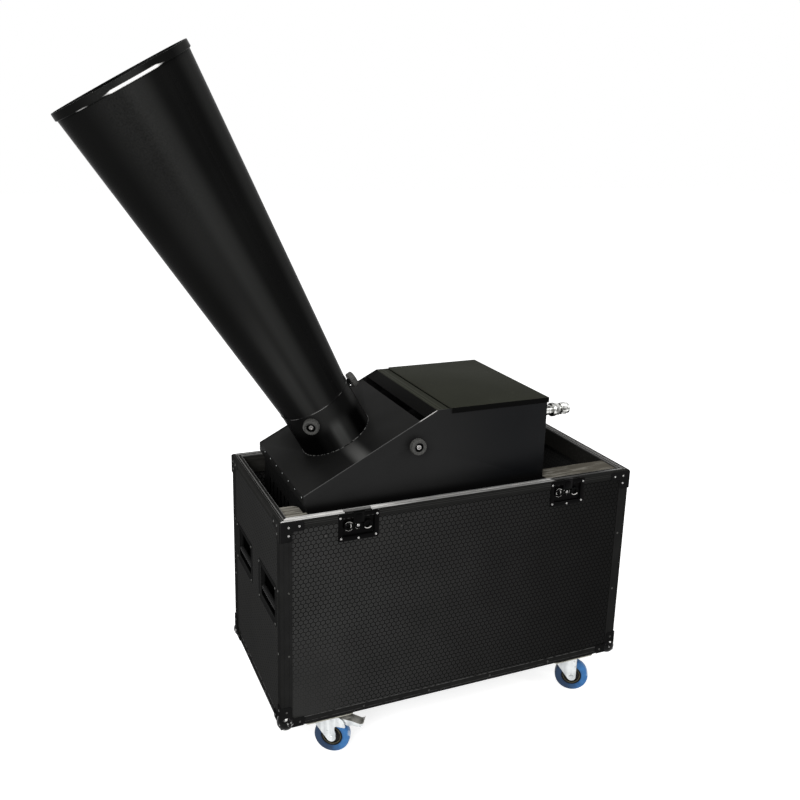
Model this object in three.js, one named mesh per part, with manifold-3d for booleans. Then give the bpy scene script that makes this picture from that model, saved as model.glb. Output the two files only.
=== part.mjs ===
// Confetti blower standing in its open flight case. Millimetres, +Z up.
// +X runs along the case towards the gas inlet, and the barrel leans towards -X.
// The origin is on the floor, under the middle of the whole object's box.
import * as THREE from "three";
import { mergeVertices } from "three/addons/utils/BufferGeometryUtils.js";
import Module from "manifold-3d";

const wasm = await Module();
wasm.setup();

// Sizes shared by every piece
const seat = 0.3; // gap between a piece and what it sits on
const overrun = 20; // how far a cutter runs past what it cuts

// Flight case
const flightCase = {
  length: 1050,
  width: 500,
  height: 590,
  wall: 9,
  floor: 9,
};
const edge = { skin: 2, cornerLeg: 30, bottomLeg: 24 };
const rim = { flange: 24, width: 23, depth: 7, rib: 8, groove: 6, grooveDepth: 4 };
const lining = { thickness: 12, height: 50 };
const ball = { radius: 23, inset: 13, rise: 15, leg: 64, legWidth: 28, plate: 2 };
const brace = { reach: 62, drop: 52, band: 25, leg: 30, plate: 1.6 };
const rivet = { radius: 3.4, head: 1.4 };
const rivetRow = { sideInset: 22, lowRise: 213, highRise: 393, bottomRise: 16, inner: 97, outer: 293 };

// Latches in the front wall
const latch = {
  centre: 316,
  width: 112,
  drop: 79,
  flange: 1.4,
  panWidth: 88,
  panTop: 18,
  panBottom: 10,
  panDepth: 8,
  panWall: 1.2,
  keyRise: 38,
  keyRadius: 19,
  keyThickness: 2.4,
  wingLength: 32,
  wingWidth: 6,
  wingHeight: 3.4,
  hookWidth: 30,
  hookHeight: 32,
  hookPlate: 1.4,
  hookLip: 4,
  hookLipHeight: 3,
  rimShare: 0.5,
};

// Recessed handles in the end walls
const handle = {
  spacingShare: 0.486,
  centreRise: 335,
  width: 172,
  height: 118,
  flange: 1.5,
  panWidth: 142,
  panHeight: 88,
  panDepth: 44,
  panWall: 1.5,
  pivotRise: 32,
  pivotInset: 8,
  armLength: 52,
  armWidth: 9,
  armThickness: 5,
  gripRadius: 7,
  sideGap: 0.5,
};

// Castors
const castor = {
  height: 128,
  fromEnd: 136,
  plateLength: 138,
  plateWidth: 104,
  plate: 3.5,
  headRadius: 31,
  headHeight: 9,
  trail: 25,
  swivelTurn: 33,
  wheelRadius: 50,
  wheelWidth: 28,
  treadCrown: 4,
  treadShoulder: 5,
  boreRadius: 8,
  forkPlate: 4,
  forkLegLead: 32,
  forkTopHeight: 4,
  legGap: 3,
  bossRadius: 13,
  axleRadius: 7.6,
  axleHead: 3,
};
const pedal = {
  pivotAhead: 38,
  pivotDrop: 22,
  reach: 89,
  width: 30,
  sheet: 3,
  toeDrop: 16,
  toeReach: 10,
  rise: 5,
  lugRadius: 5,
};

// Woodwork inside the case
const shelf = { drop: 5, thickness: 12, reach: 75, notchGap: 2 };

// Hood of the machine, measured from the case's middle and its underside
const hood = {
  centreY: 12,
  sideRoom: 38,
  skin: 3,
  sheet: 2.5,
  recess: 1,
  footX: -448,
  footRise: 627,
  foldX: -78,
  topRise: 818,
  rearX: 262,
  skirtRise: 578,
  flangeDrop: 24,
  cutBack: 15,
  slotStart: 362,
  slotWidth: 17,
};
const lid = { frontX: -36, sheet: 2, lip: 12, sideGap: 1.2, overhang: 2.5, hingeGap: 5, hingeRadius: 1.8 };
const screws = { count: 8, endInset: 11.8, drop: 6, radius: 3.8, head: 2.2 };
const tub = {
  frontInset: 12,
  rearInset: 12,
  sideInset: 14,
  floorRise: 300,
  topRise: 600,
  sheet: 2,
  vents: 9,
  ventWidth: 14,
  ventHeight: 110,
  ventPitch: 36,
  ventRise: 430,
};

// Barrel, collar and what lies under them, along the barrel's axis
const barrel = {
  lean: 30,
  footLength: 180,
  collarHeight: 128,
  collarRadius: 101,
  collarWall: 3,
  spigotRadius: 96.5,
  spigotDepth: 110,
  wall: 2,
  footRadius: 100.6,
  mouthRadius: 175.8,
  mouthHeight: 1076,
  lipRadius: 102,
  lipHeight: 5,
  bandHeight: 21,
  bandProud: 2.5,
  bandChamfer: 2,
};
const throat = {
  radius: 104,
  wall: 2,
  length: 330,
  base: 3,
  openingTop: 110,
  openingBottom: 235,
  openingHalfWidth: 80,
  ventRadius: 17,
  ventCircle: 58,
  vents: 6,
};
const nozzle = { stemRadius: 12, tailLength: 20, flangeRadius: 20, flange: 6, tipRadius: 6, length: 62 };
const chute = { sheet: 2, halfWidth: 98, footX: -64, footRise: 531, rearRise: 702, topRise: 800 };
const chuteNose = { x: -200, rise: 736, shoulderX: -80 };

// Clamping knobs
const knob = {
  radius: 22,
  height: 18,
  standOff: 7,
  stemRadius: 9,
  studRadius: 5,
  holeRadius: 5.5,
  edgeRadius: 3.5,
  ringRadius: 15,
  dishRadius: 10,
  dishDepth: 8,
  boltRadius: 7,
  boltHeight: 5,
  rise: 106,
};
const sideKnob = { behindFold: 61, drop: 89, studIn: 10 };
const knobSectorTurn = 120;

// Gas line
const inlet = {
  sideInset: 70,
  rise: 756,
  inside: 22,
  tailRadius: 12,
  washerRadius: 20,
  washer: 6,
  bodyRadius: 14.5,
  bodyEnd: 59,
  flangeRadius: 20,
  flangeWidth: 11,
  nutRadius: 19,
  nutWidth: 13,
  nippleRadius: 12,
  boreRadius: 5,
  boreDepth: 40,
  end: 117,
};
const sleeve = { radius: 17, bore: 12.6, length: 27 };
const pipeRadius = 9;
const valve = { startX: 20, length: 70, rise: 350, radius: 20, footWidth: 36, footLength: 44 };
const coil = { radius: 21, height: 48, neck: 8 };
const pipeBend = {
  nozzleRun: 30,
  valveRun: 40,
  riserX: 188,
  riserFoot: 480,
  crossX: 165,
  crossRise: 400,
  elbow: 32,
  runs: 3,
};

// Control box behind the rear panel
const control = { length: 54, width: 84, sideInset: 16, lowRise: 625, highRise: 705 };
const socket = { inset: 22, radius: 12, boreRadius: 8, boreDepth: 9, proud: 4, gap: 0.5 };

// How many flats stand for a round shape
const facets = { barrel: 40, knob: 16, small: 10, rivet: 6, pipe: 8, ball: 10, wheel: 28, hex: 6 };

// Materials
const finish = (color, roughness, metalness) => new THREE.MeshStandardMaterial({ color, roughness, metalness });
const palette = {
  laminate: finish(0x2b2b2d, 0.55, 0),
  plywood: finish(0xb7a98f, 0.8, 0),
  darkWood: finish(0x4a4339, 0.8, 0),
  rimAluminium: finish(0xc8c8c4, 0.3, 1),
  blackExtrusion: finish(0x242426, 0.4, 0.6),
  blackSteel: finish(0x1d1d1f, 0.35, 0.6),
  zinc: finish(0xd4d8da, 0.3, 1),
  wheelBlue: finish(0x2f6cae, 0.5, 0),
  hoodCoat: finish(0x212424, 0.5, 0.3),
  barrelCoat: finish(0x1c1e1f, 0.3, 0.3),
  knobPlastic: finish(0x2c2c2b, 0.45, 0),
  stainless: finish(0xcfcfcd, 0.25, 1),
  chrome: finish(0xd8d8d6, 0.15, 1),
  brass: finish(0xb3924a, 0.3, 1),
  innerSheet: finish(0x6f7374, 0.4, 0.8),
};

// Half sizes and levels that several pieces share
const halfLength = flightCase.length / 2;
const halfWidth = flightCase.width / 2;
const panelX = halfLength - edge.skin;
const panelY = halfWidth - edge.skin;
const innerX = panelX - flightCase.wall;
const innerY = panelY - flightCase.wall;
const liningX = innerX - lining.thickness;
const liningY = innerY - lining.thickness;
const panelFoot = edge.skin + seat;
const panelTop = flightCase.height - rim.depth - seat;
const hoodWidth = flightCase.width - 2 * hood.sideRoom;
const hoodHalf = hoodWidth / 2;
const inletY = inlet.sideInset - hoodHalf;
const controlFar = hoodHalf - control.sideInset;
const socketRise = (control.lowRise + control.highRise) / 2;
const socketPlaces = [controlFar - control.width + socket.inset, controlFar - socket.inset];
const handleSpacing = flightCase.width * handle.spacingShare;
const sideKnobX = hood.foldX - sideKnob.behindFold;
const sideKnobRise = hood.topRise - sideKnob.drop;
const corners = [[-1, -1], [-1, 1], [1, -1], [1, 1]];
const ends = [-1, 1];

// Geometry helpers
function block(low, high) {
  const size = high.map((value, axis) => Math.abs(value - low[axis]));
  const middle = high.map((value, axis) => (value + low[axis]) / 2);
  return new THREE.BoxGeometry(...size).translate(...middle);
}

function outline(points) {
  return new THREE.Shape(points.map(([a, b]) => new THREE.Vector2(a, b)));
}

// The outline is given as [x, z] and runs from y = from to y = to
function slabAlongY(points, from, to) {
  const geometry = new THREE.ExtrudeGeometry(outline(points), { depth: to - from, bevelEnabled: false });
  const turn = new THREE.Matrix4().makeBasis(
    new THREE.Vector3(1, 0, 0),
    new THREE.Vector3(0, 0, 1),
    new THREE.Vector3(0, -1, 0),
  );
  return geometry.applyMatrix4(turn).translate(0, to, 0);
}

// The outline is given as [x, y] and runs from z = from to z = to
function slabAlongZ(points, from, to) {
  const geometry = new THREE.ExtrudeGeometry(outline(points), { depth: to - from, bevelEnabled: false });
  return geometry.translate(0, 0, from);
}

// A closed profile of [radius, height] turned round +Z
function turned(profile, flats) {
  const points = profile.map(([radius, height]) => new THREE.Vector2(radius, height));
  return new THREE.LatheGeometry(points, flats).rotateX(Math.PI / 2);
}

function rod(radius, from, to, flats) {
  return turned([[0, from], [radius, from], [radius, to], [0, to]], flats);
}

function ring(inner, outer, from, to, flats) {
  return turned([[inner, from], [outer, from], [outer, to], [inner, to], [inner, from]], flats);
}

// Turns a piece made along +Z so that it lies along another direction
function aimed(geometry, direction) {
  const from = new THREE.Vector3(0, 0, 1);
  const turn = new THREE.Quaternion().setFromUnitVectors(from, new THREE.Vector3(...direction).normalize());
  return geometry.applyQuaternion(turn);
}

function solidOf(geometry) {
  const bare = geometry.clone();
  bare.deleteAttribute("normal");
  bare.deleteAttribute("uv");
  const welded = mergeVertices(bare);
  return new wasm.Manifold(
    new wasm.Mesh({
      numProp: 3,
      vertProperties: new Float32Array(welded.attributes.position.array),
      triVerts: new Uint32Array(welded.index.array),
    }),
  );
}

function geometryOf(solid) {
  const { vertProperties, triVerts } = solid.getMesh();
  const geometry = new THREE.BufferGeometry();
  geometry.setAttribute("position", new THREE.BufferAttribute(vertProperties, 3));
  geometry.setIndex(new THREE.BufferAttribute(triVerts, 1));
  geometry.computeVertexNormals();
  return geometry;
}

function joined(...geometries) {
  return geometryOf(geometries.map(solidOf).reduce((sum, next) => sum.add(next)));
}

function cut(geometry, ...cutters) {
  return geometryOf(cutters.map(solidOf).reduce((rest, next) => rest.subtract(next), solidOf(geometry)));
}

// A rectangular ring that follows the case's outline between two insets
function ringBlock(outer, inner, low, high) {
  const solid = (inset, foot, top) =>
    block([inset - halfLength, inset - halfWidth, foot], [halfLength - inset, halfWidth - inset, top]);
  return cut(solid(outer, low, high), solid(inner, low - overrun, high + overrun));
}

function piece(parent, name, geometry, material) {
  const mesh = new THREE.Mesh(geometry, material);
  mesh.name = name;
  parent.add(mesh);
  return mesh;
}

// Plywood box of the case
function frontPanel() {
  const plate = block([-panelX, -panelY, panelFoot], [panelX, -innerY, panelTop]);
  const holes = ends.map((side) => {
    const middle = side * latch.centre;
    const half = latch.panWidth / 2 + seat;
    const low = flightCase.height - latch.drop + latch.panBottom - seat;
    const high = flightCase.height - latch.panTop + seat;
    return block([middle - half, -panelY - overrun, low], [middle + half, -innerY + overrun, high]);
  });
  return cut(plate, ...holes);
}

function endPanel(side) {
  const inner = innerY - seat;
  const plate = block([side * innerX, -inner, panelFoot], [side * panelX, inner, panelTop]);
  const holes = ends.map((place) => {
    const middle = (place * handleSpacing) / 2;
    const halfY = handle.panWidth / 2 + seat;
    const halfZ = handle.panHeight / 2 + seat;
    return block(
      [side * (innerX - overrun), middle - halfY, handle.centreRise - halfZ],
      [side * (panelX + overrun), middle + halfY, handle.centreRise + halfZ],
    );
  });
  return cut(plate, ...holes);
}

function floorPanel() {
  const x = innerX - seat;
  const y = innerY - seat;
  return block([-x, -y, panelFoot], [x, y, panelFoot + flightCase.floor]);
}

function liningFrame() {
  const outer = edge.skin + flightCase.wall + seat;
  const inner = outer - seat + lining.thickness;
  return ringBlock(outer, inner, panelTop - lining.height, panelTop);
}

// The front is notched for the latches, and wider open where a hook rises
function rimExtrusion() {
  const top = flightCase.height;
  const face = -panelY;
  const notches = ends.flatMap((side) => {
    const middle = side * latch.centre;
    const half = latch.width / 2 + seat;
    const hookHalf = latch.hookWidth / 2 + seat;
    const notchTop = top - rim.depth * latch.rimShare;
    return [
      block([middle - half, -halfWidth - overrun, top - rim.flange - overrun], [middle + half, face, notchTop]),
      block([middle - hookHalf, -halfWidth - overrun, top - rim.flange], [middle + hookHalf, face, top + overrun]),
    ];
  });
  return cut(
    ringBlock(0, rim.width, top - rim.flange, top),
    ringBlock(edge.skin, rim.width + overrun, top - rim.flange - overrun, top - rim.depth),
    ringBlock(rim.rib, rim.rib + rim.groove, top - rim.grooveDepth, top + overrun),
    ...notches,
  );
}

function upright([sideX, sideY]) {
  const x = (inset) => sideX * (halfLength - inset);
  const y = (inset) => sideY * (halfWidth - inset);
  const section = [
    [x(0), y(0)],
    [x(edge.cornerLeg), y(0)],
    [x(edge.cornerLeg), y(edge.skin)],
    [x(edge.skin), y(edge.skin)],
    [x(edge.skin), y(edge.cornerLeg)],
    [x(0), y(edge.cornerLeg)],
  ];
  const ordered = sideX * sideY > 0 ? section : section.reverse();
  return slabAlongZ(ordered, edge.bottomLeg / 2, flightCase.height - rim.flange - seat);
}

// Bottom and upright extrusions with the corner braces, ball corners and rivets fixed to them
function caseEdging() {
  const leg = edge.bottomLeg;
  const bottom = cut(ringBlock(0, leg, 0, leg), ringBlock(edge.skin, leg + overrun, edge.skin, leg + overrun));
  return joined(
    bottom,
    ...corners.map(upright),
    ...corners.map(ballCorner),
    ...corners.map(cornerBrace),
    ...edgingRivets(),
  );
}

// Steel ball with riveted legs, hollowed to fit over the corner
function ballCorner([sideX, sideY]) {
  const centre = [sideX * (halfLength - ball.inset), sideY * (halfWidth - ball.inset), ball.rise];
  const sphere = new THREE.SphereGeometry(ball.radius, facets.ball, facets.ball / 2).translate(...centre);
  const outX = sideX * (halfLength + ball.plate);
  const outY = sideY * (halfWidth + ball.plate);
  const x = (inset) => sideX * (halfLength - inset);
  const y = (inset) => sideY * (halfWidth - inset);
  const legs = [
    block([outX, outY, 0], [x(ball.leg), y(0), ball.legWidth]),
    block([outX, outY, 0], [x(0), y(ball.leg), ball.legWidth]),
    block([outX, outY, 0], [x(ball.legWidth), y(ball.legWidth), ball.leg]),
  ];
  const corner = block([x(seat), y(seat), seat], [x(ball.leg + overrun), y(ball.leg + overrun), ball.leg + overrun]);
  return cut(joined(sphere, ...legs), corner);
}

// Bent plate over the top of each upright edge
function cornerBrace([sideX, sideY]) {
  const top = flightCase.height - rim.depth / 2;
  const outX = sideX * (halfLength + seat + brace.plate);
  const outY = sideY * (halfWidth + seat + brace.plate);
  const x = (inset) => sideX * (halfLength - inset);
  const y = (inset) => sideY * (halfWidth - inset);
  const plates = [
    block([outX, outY, top - brace.band], [x(brace.reach), y(0), top]),
    block([outX, outY, top - brace.band], [x(0), y(brace.reach), top]),
    block([outX, outY, top - brace.drop], [x(brace.leg), y(brace.leg), top]),
  ];
  const far = brace.reach + overrun;
  const rimFoot = flightCase.height - rim.flange - seat;
  const overRim = block([x(-seat), y(-seat), rimFoot], [x(far), y(far), flightCase.height + overrun]);
  const overUpright = block([x(seat), y(seat), -overrun], [x(far), y(far), rimFoot + seat]);
  return cut(joined(...plates), overRim, overUpright);
}

// Rivet heads on the four outer faces: [distance along the face, rise, how far the face stands out]
function rivetsOnFace(half, plainRows) {
  const brace0 = brace.leg / 2 + brace.plate;
  const topRow = flightCase.height - brace.band / 2 - rim.depth / 2;
  const lowRow = flightCase.height - (brace.band + brace.drop) / 2;
  const proudBrace = seat + brace.plate;
  const proudBall = ball.plate;
  const places = [];
  for (const side of ends) {
    const along = (inset) => side * (half - inset);
    places.push([along(rivetRow.sideInset), rivetRow.lowRise, 0]);
    places.push([along(rivetRow.sideInset), rivetRow.highRise, 0]);
    places.push([along(brace0), topRow, proudBrace]);
    places.push([along(brace.reach - brace.band / 2), topRow, proudBrace]);
    places.push([along(brace0), lowRow, proudBrace]);
    places.push([along(ball.leg - ball.legWidth / 2), ball.legWidth / 2, proudBall]);
    places.push([along(ball.legWidth / 2), ball.leg - ball.legWidth / 2, proudBall]);
  }
  return [...places, ...plainRows.map((x) => [x, rivetRow.bottomRise, 0])];
}

// A rivet head sunk slightly into the face that carries it
function rivetHead(direction) {
  return aimed(rod(rivet.radius, -seat, rivet.head, facets.rivet), direction);
}

function edgingRivets() {
  const long = rivetsOnFace(halfLength, [-rivetRow.outer, -rivetRow.inner, rivetRow.inner, rivetRow.outer]);
  const short = rivetsOnFace(halfWidth, [-rivetRow.inner, rivetRow.inner]);
  return ends.flatMap((side) => [
    ...long.map(([x, rise, proud]) =>
      rivetHead([0, side, 0]).translate(x, side * (halfWidth + proud), rise),
    ),
    ...short.map(([y, rise, proud]) =>
      rivetHead([side, 0, 0]).translate(side * (halfLength + proud), y, rise),
    ),
  ]);
}

// Recessed butterfly latches
function latchDish(side) {
  const middle = side * latch.centre;
  const top = flightCase.height - rim.depth * latch.rimShare - seat;
  const bottom = flightCase.height - latch.drop;
  const back = -panelY - seat;
  const front = back - latch.flange;
  const panTop = flightCase.height - latch.panTop;
  const panBottom = bottom + latch.panBottom;
  const panHalf = latch.panWidth / 2;
  const panFloor = back + latch.panDepth;
  const plate = block([middle - latch.width / 2, front, bottom], [middle + latch.width / 2, back, top]);
  const pan = block([middle - panHalf, back, panBottom], [middle + panHalf, panFloor, panTop]);
  const hollow = block(
    [middle - panHalf + latch.panWall, front - overrun, panBottom + latch.panWall],
    [middle + panHalf - latch.panWall, panFloor - latch.panWall, panTop - latch.panWall],
  );
  const hookHalf = latch.hookWidth / 2 + seat;
  const hookSlot = block(
    [middle - hookHalf, front - overrun, panTop - latch.panWall - seat],
    [middle + hookHalf, back + seat, top + overrun],
  );
  const insetX = (latch.width - latch.panWidth) / 4;
  const heads = corners.map(([a, b]) => {
    const rise = b < 0 ? bottom + latch.panBottom / 2 : flightCase.height - rim.flange;
    return rivetHead([0, -1, 0]).translate(middle + a * (latch.width / 2 - insetX), front, rise);
  });
  return cut(joined(plate, pan, ...heads), hollow, hookSlot);
}

function latchKey() {
  const disc = rod(latch.keyRadius, 0, latch.keyThickness, facets.knob);
  const half = latch.wingWidth / 2;
  const wing = block(
    [-half, -latch.wingLength / 2, latch.keyThickness / 2],
    [half, latch.wingLength / 2, latch.keyThickness + latch.wingHeight],
  );
  return aimed(joined(disc, wing), [0, -1, 0]);
}

// The hook slides in the rim's notch and has a lip turned outwards
function latchHook() {
  const half = latch.hookWidth / 2;
  const plate = block([-half, -latch.hookPlate, 0], [half, 0, latch.hookHeight]);
  const lipFoot = latch.hookHeight - latch.hookLipHeight;
  const lip = block([-half, -latch.hookPlate - latch.hookLip, lipFoot], [half, 0, latch.hookHeight]);
  return joined(plate, lip);
}

// Recessed handles
function handleDish(side, place) {
  const middle = (place * handleSpacing) / 2;
  const back = panelX + seat;
  const front = back + handle.flange;
  const halfY = handle.panWidth / 2;
  const halfZ = handle.panHeight / 2;
  const deep = back - handle.panDepth;
  const plate = block(
    [side * back, middle - handle.width / 2, handle.centreRise - handle.height / 2],
    [side * front, middle + handle.width / 2, handle.centreRise + handle.height / 2],
  );
  const pan = block(
    [side * deep, middle - halfY, handle.centreRise - halfZ],
    [side * back, middle + halfY, handle.centreRise + halfZ],
  );
  const hollow = block(
    [side * (deep + handle.panWall), middle - halfY + handle.panWall, handle.centreRise - halfZ + handle.panWall],
    [side * (front + overrun), middle + halfY - handle.panWall, handle.centreRise + halfZ - handle.panWall],
  );
  const insetY = (handle.width - handle.panWidth) / 4;
  const insetZ = (handle.height - handle.panHeight) / 4;
  const heads = corners.map(([a, b]) =>
    rivetHead([side, 0, 0]).translate(
      side * front,
      middle + a * (handle.width / 2 - insetY),
      handle.centreRise + b * (handle.height / 2 - insetZ),
    ),
  );
  return cut(joined(plate, pan, ...heads), hollow);
}

// The bail is made with its pivot at the origin and its grip hanging below
function handleBail() {
  const half = handle.panWidth / 2 - handle.panWall - handle.sideGap;
  const arms = ends.map((side) =>
    block(
      [-handle.armWidth / 2, side * half, -handle.armLength],
      [handle.armWidth / 2, side * (half - handle.armThickness), handle.armWidth / 2],
    ),
  );
  const grip = aimed(rod(handle.gripRadius, -half, half, facets.small), [0, 1, 0]);
  return joined(...arms, grip.translate(0, 0, -handle.armLength));
}

// Castors, with the swivel axis at the origin and the case's underside at z = 0
function castorPlate() {
  const plate = block(
    [-castor.plateLength / 2, -castor.plateWidth / 2, -castor.plate],
    [castor.plateLength / 2, castor.plateWidth / 2, 0],
  );
  const headFoot = -castor.plate - castor.headHeight;
  return joined(plate, rod(castor.headRadius, headFoot, -castor.plate / 2, facets.knob));
}

function castorFork() {
  const top = -castor.plate - castor.headHeight - seat;
  const axleRise = castor.wheelRadius - castor.height;
  const legIn = castor.wheelWidth / 2 + castor.legGap;
  const legOut = legIn + castor.forkPlate;
  const lead = -castor.forkLegLead;
  const tail = castor.trail + castor.bossRadius;
  const bridge = block([lead, -legOut, top - castor.forkTopHeight], [tail, legOut, top]);
  const arc = [1, 0.75, 0.5, 0.25, 0].map((share) => {
    const angle = -Math.PI * share;
    return [
      castor.trail + castor.bossRadius * Math.cos(angle),
      axleRise + castor.bossRadius * Math.sin(angle),
    ];
  });
  const side = [[lead, top], ...arc, [tail, top]];
  const legs = ends.map((hand) => {
    const [from, to] = hand < 0 ? [-legOut, -legIn] : [legIn, legOut];
    return slabAlongY(side, from, to);
  });
  const reach = legOut + castor.axleHead;
  const axle = aimed(rod(castor.axleRadius, -reach, reach, facets.small), [0, 1, 0]);
  return joined(bridge, ...legs, axle.translate(castor.trail, 0, axleRise));
}

// Tread bonded to its hub, with a running bore for the axle. One of its flats faces down.
function castorWheel() {
  const half = castor.wheelWidth / 2;
  const shoulder = castor.wheelRadius - castor.treadShoulder;
  const profile = [
    [castor.boreRadius, -half],
    [shoulder, -half],
    [castor.wheelRadius, -half + castor.treadCrown],
    [castor.wheelRadius, half - castor.treadCrown],
    [shoulder, half],
    [castor.boreRadius, half],
    [castor.boreRadius, -half],
  ];
  return aimed(turned(profile, facets.wheel), [0, 1, 0]).rotateY(Math.PI / facets.wheel);
}

// The pedal is made with its pivot at the origin
function brakePedal() {
  const half = pedal.width / 2;
  const reach = pedal.reach - pedal.pivotAhead + castor.trail;
  const toe = reach - pedal.toeReach;
  const sheet = slabAlongY(
    [
      [0, pedal.rise],
      [toe, pedal.rise],
      [reach, pedal.rise - pedal.toeDrop],
      [reach, pedal.rise - pedal.toeDrop - pedal.sheet],
      [toe, pedal.rise - pedal.sheet],
      [0, pedal.rise - pedal.sheet],
    ],
    -half,
    half,
  );
  const pin = aimed(rod(pedal.lugRadius, -half, half, facets.small), [0, 1, 0]);
  return joined(sheet, pin);
}

// Woodwork that locates and carries the machine
const machineNear = hood.centreY - hoodHalf;

function shelfBoard() {
  const top = flightCase.height - shelf.drop;
  const x = liningX - seat;
  const y = -liningY + seat;
  const deep = -liningY + shelf.reach;
  const left = hood.footX - shelf.notchGap;
  const right = hood.rearX + lid.overhang + shelf.notchGap;
  const notch = machineNear - shelf.notchGap;
  const board = [
    [-x, y],
    [x, y],
    [x, deep],
    [right, deep],
    [right, notch],
    [left, notch],
    [left, deep],
    [-x, deep],
  ];
  return slabAlongZ(board, top - shelf.thickness, top);
}

// Hood. The deck climbs from its foot to the fold under the strip plate.
const deckRun = hood.foldX - hood.footX;
const deckClimb = hood.topRise - hood.footRise;
const deckLength = Math.hypot(deckRun, deckClimb);
const deckUp = [deckRun / deckLength, deckClimb / deckLength];
const deckOut = [-deckUp[1], deckUp[0]];
const deckPoint = (along, out) => [
  hood.footX + along * deckUp[0] + out * deckOut[0],
  hood.footRise + along * deckUp[1] + out * deckOut[1],
];
// Where a line lying below the deck's plane crosses a given x or a given rise
const deckAtX = (x, out) => {
  const [startX, startRise] = deckPoint(0, out);
  return [x, startRise + ((x - startX) * deckUp[1]) / deckUp[0]];
};
const deckAtRise = (rise, out) => {
  const [startX, startRise] = deckPoint(0, out);
  return [startX + ((rise - startRise) * deckUp[0]) / deckUp[1], rise];
};
const sheetHalf = hoodHalf - hood.skin - seat;
const flangeFoot = hood.footRise - hood.flangeDrop;

function hoodSide(hand) {
  const shape = [
    [hood.footX, flangeFoot],
    [hood.footX + hood.cutBack, hood.skirtRise],
    [hood.rearX, hood.skirtRise],
    [hood.rearX, hood.topRise],
    [hood.foldX, hood.topRise],
    [hood.footX, hood.footRise],
  ];
  const [from, to] = hand < 0 ? [-hoodHalf, hood.skin - hoodHalf] : [hoodHalf - hood.skin, hoodHalf];
  const hole = aimed(rod(knob.holeRadius, -hoodHalf - overrun, hoodHalf + overrun, facets.small), [0, 1, 0]);
  return cut(slabAlongY(shape, from, to), hole.translate(sideKnobX, 0, sideKnobRise));
}

function deckPlate() {
  const outer = -hood.recess;
  const inner = outer - hood.sheet;
  const shape = [
    [hood.footX, flangeFoot],
    [hood.footX + hood.sheet, flangeFoot],
    deckAtX(hood.footX + hood.sheet, inner),
    deckPoint(hood.slotStart, inner),
    deckPoint(hood.slotStart, outer),
    deckAtX(hood.footX, outer),
  ];
  return slabAlongY(shape, -sheetHalf, sheetHalf);
}

function stripPlate() {
  const outer = -hood.recess;
  const inner = outer - hood.sheet;
  const start = hood.slotStart + hood.slotWidth;
  const end = lid.frontX - lid.hingeGap;
  const top = hood.topRise - hood.recess;
  const shape = [
    deckPoint(start, outer),
    deckPoint(start, inner),
    deckAtRise(top - hood.sheet, inner),
    [end, top - hood.sheet],
    [end, top],
    deckAtRise(top, outer),
  ];
  return slabAlongY(shape, -sheetHalf, sheetHalf);
}

// The pin lies along the lid's front edge and turns in the hood's sides
const lidHingeX = lid.frontX - lid.hingeRadius / 2;

function topLid() {
  const rear = hood.rearX + lid.overhang;
  const half = hoodHalf + lid.sideGap + lid.sheet;
  const foot = hood.topRise - lid.lip;
  const under = hood.topRise + seat;
  const shell = block([lid.frontX, -half, foot], [rear, half, under + lid.sheet]);
  const hollow = block(
    [lid.frontX - overrun, -half + lid.sheet, foot - overrun],
    [rear - lid.sheet + seat, half - lid.sheet, under],
  );
  const pin = aimed(rod(lid.hingeRadius, -sheetHalf, sheetHalf, facets.small), [0, 1, 0]);
  return joined(cut(shell, hollow), pin.translate(lidHingeX, 0, under));
}

function rearPanel() {
  const front = hood.rearX - hood.sheet;
  const plate = block(
    [front, -sheetHalf, hood.skirtRise],
    [hood.rearX, sheetHalf, hood.topRise - seat],
  );
  const through = (radius, y, rise) =>
    aimed(rod(radius, front - overrun, hood.rearX + overrun, facets.knob), [1, 0, 0]).translate(0, y, rise);
  return cut(
    plate,
    through(inlet.tailRadius + socket.gap, inletY, inlet.rise),
    ...socketPlaces.map((y) => through(socket.radius + socket.gap, y, socketRise)),
  );
}

function screwHeads() {
  const pitch = (hoodWidth - 2 * screws.endInset) / (screws.count - 1);
  const heads = [];
  for (let index = 0; index < screws.count; index += 1) {
    const y = screws.endInset - hoodHalf + index * pitch;
    const head = rod(screws.radius, -seat, screws.head, facets.rivet);
    heads.push(aimed(head, [-1, 0, 0]).translate(hood.footX, y, hood.footRise - screws.drop));
  }
  return heads;
}

// Sheet tub on a skirt that stands on the case's floor, with air slots in its front end
function lowerTub() {
  const front = hood.footX + tub.frontInset;
  const rear = hood.rearX - tub.rearInset;
  const half = hoodHalf - tub.sideInset;
  const foot = panelFoot + flightCase.floor + seat;
  const shell = block([front, -half, foot], [rear, half, tub.topRise]);
  const flange = block([front, -sheetHalf, tub.topRise - tub.sheet], [rear, sheetHalf, tub.topRise]);
  const hollow = block(
    [front + tub.sheet, -half + tub.sheet, tub.floorRise + tub.sheet],
    [rear - tub.sheet, half - tub.sheet, tub.topRise + overrun],
  );
  const under = block(
    [front + tub.sheet, -half + tub.sheet, foot - overrun],
    [rear - tub.sheet, half - tub.sheet, tub.floorRise],
  );
  const vents = [];
  for (let index = 0; index < tub.vents; index += 1) {
    const y = (index - (tub.vents - 1) / 2) * tub.ventPitch;
    vents.push(
      block(
        [front - overrun, y - tub.ventWidth / 2, tub.ventRise],
        [front + overrun, y + tub.ventWidth / 2, tub.ventRise + tub.ventHeight],
      ),
    );
  }
  return cut(joined(shell, flange), hollow, under, ...vents);
}

// Pieces on the barrel's axis, which starts where it meets the deck
const lean = THREE.MathUtils.degToRad(barrel.lean);
const axisUp = [-Math.sin(lean), Math.cos(lean)];
const [axisX, axisRise] = deckPoint(barrel.footLength, -hood.recess);
const onAxis = (height) => [axisX + height * axisUp[0], axisRise + height * axisUp[1]];
const deckTurn = lean - Math.atan2(deckClimb, deckRun);

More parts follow.
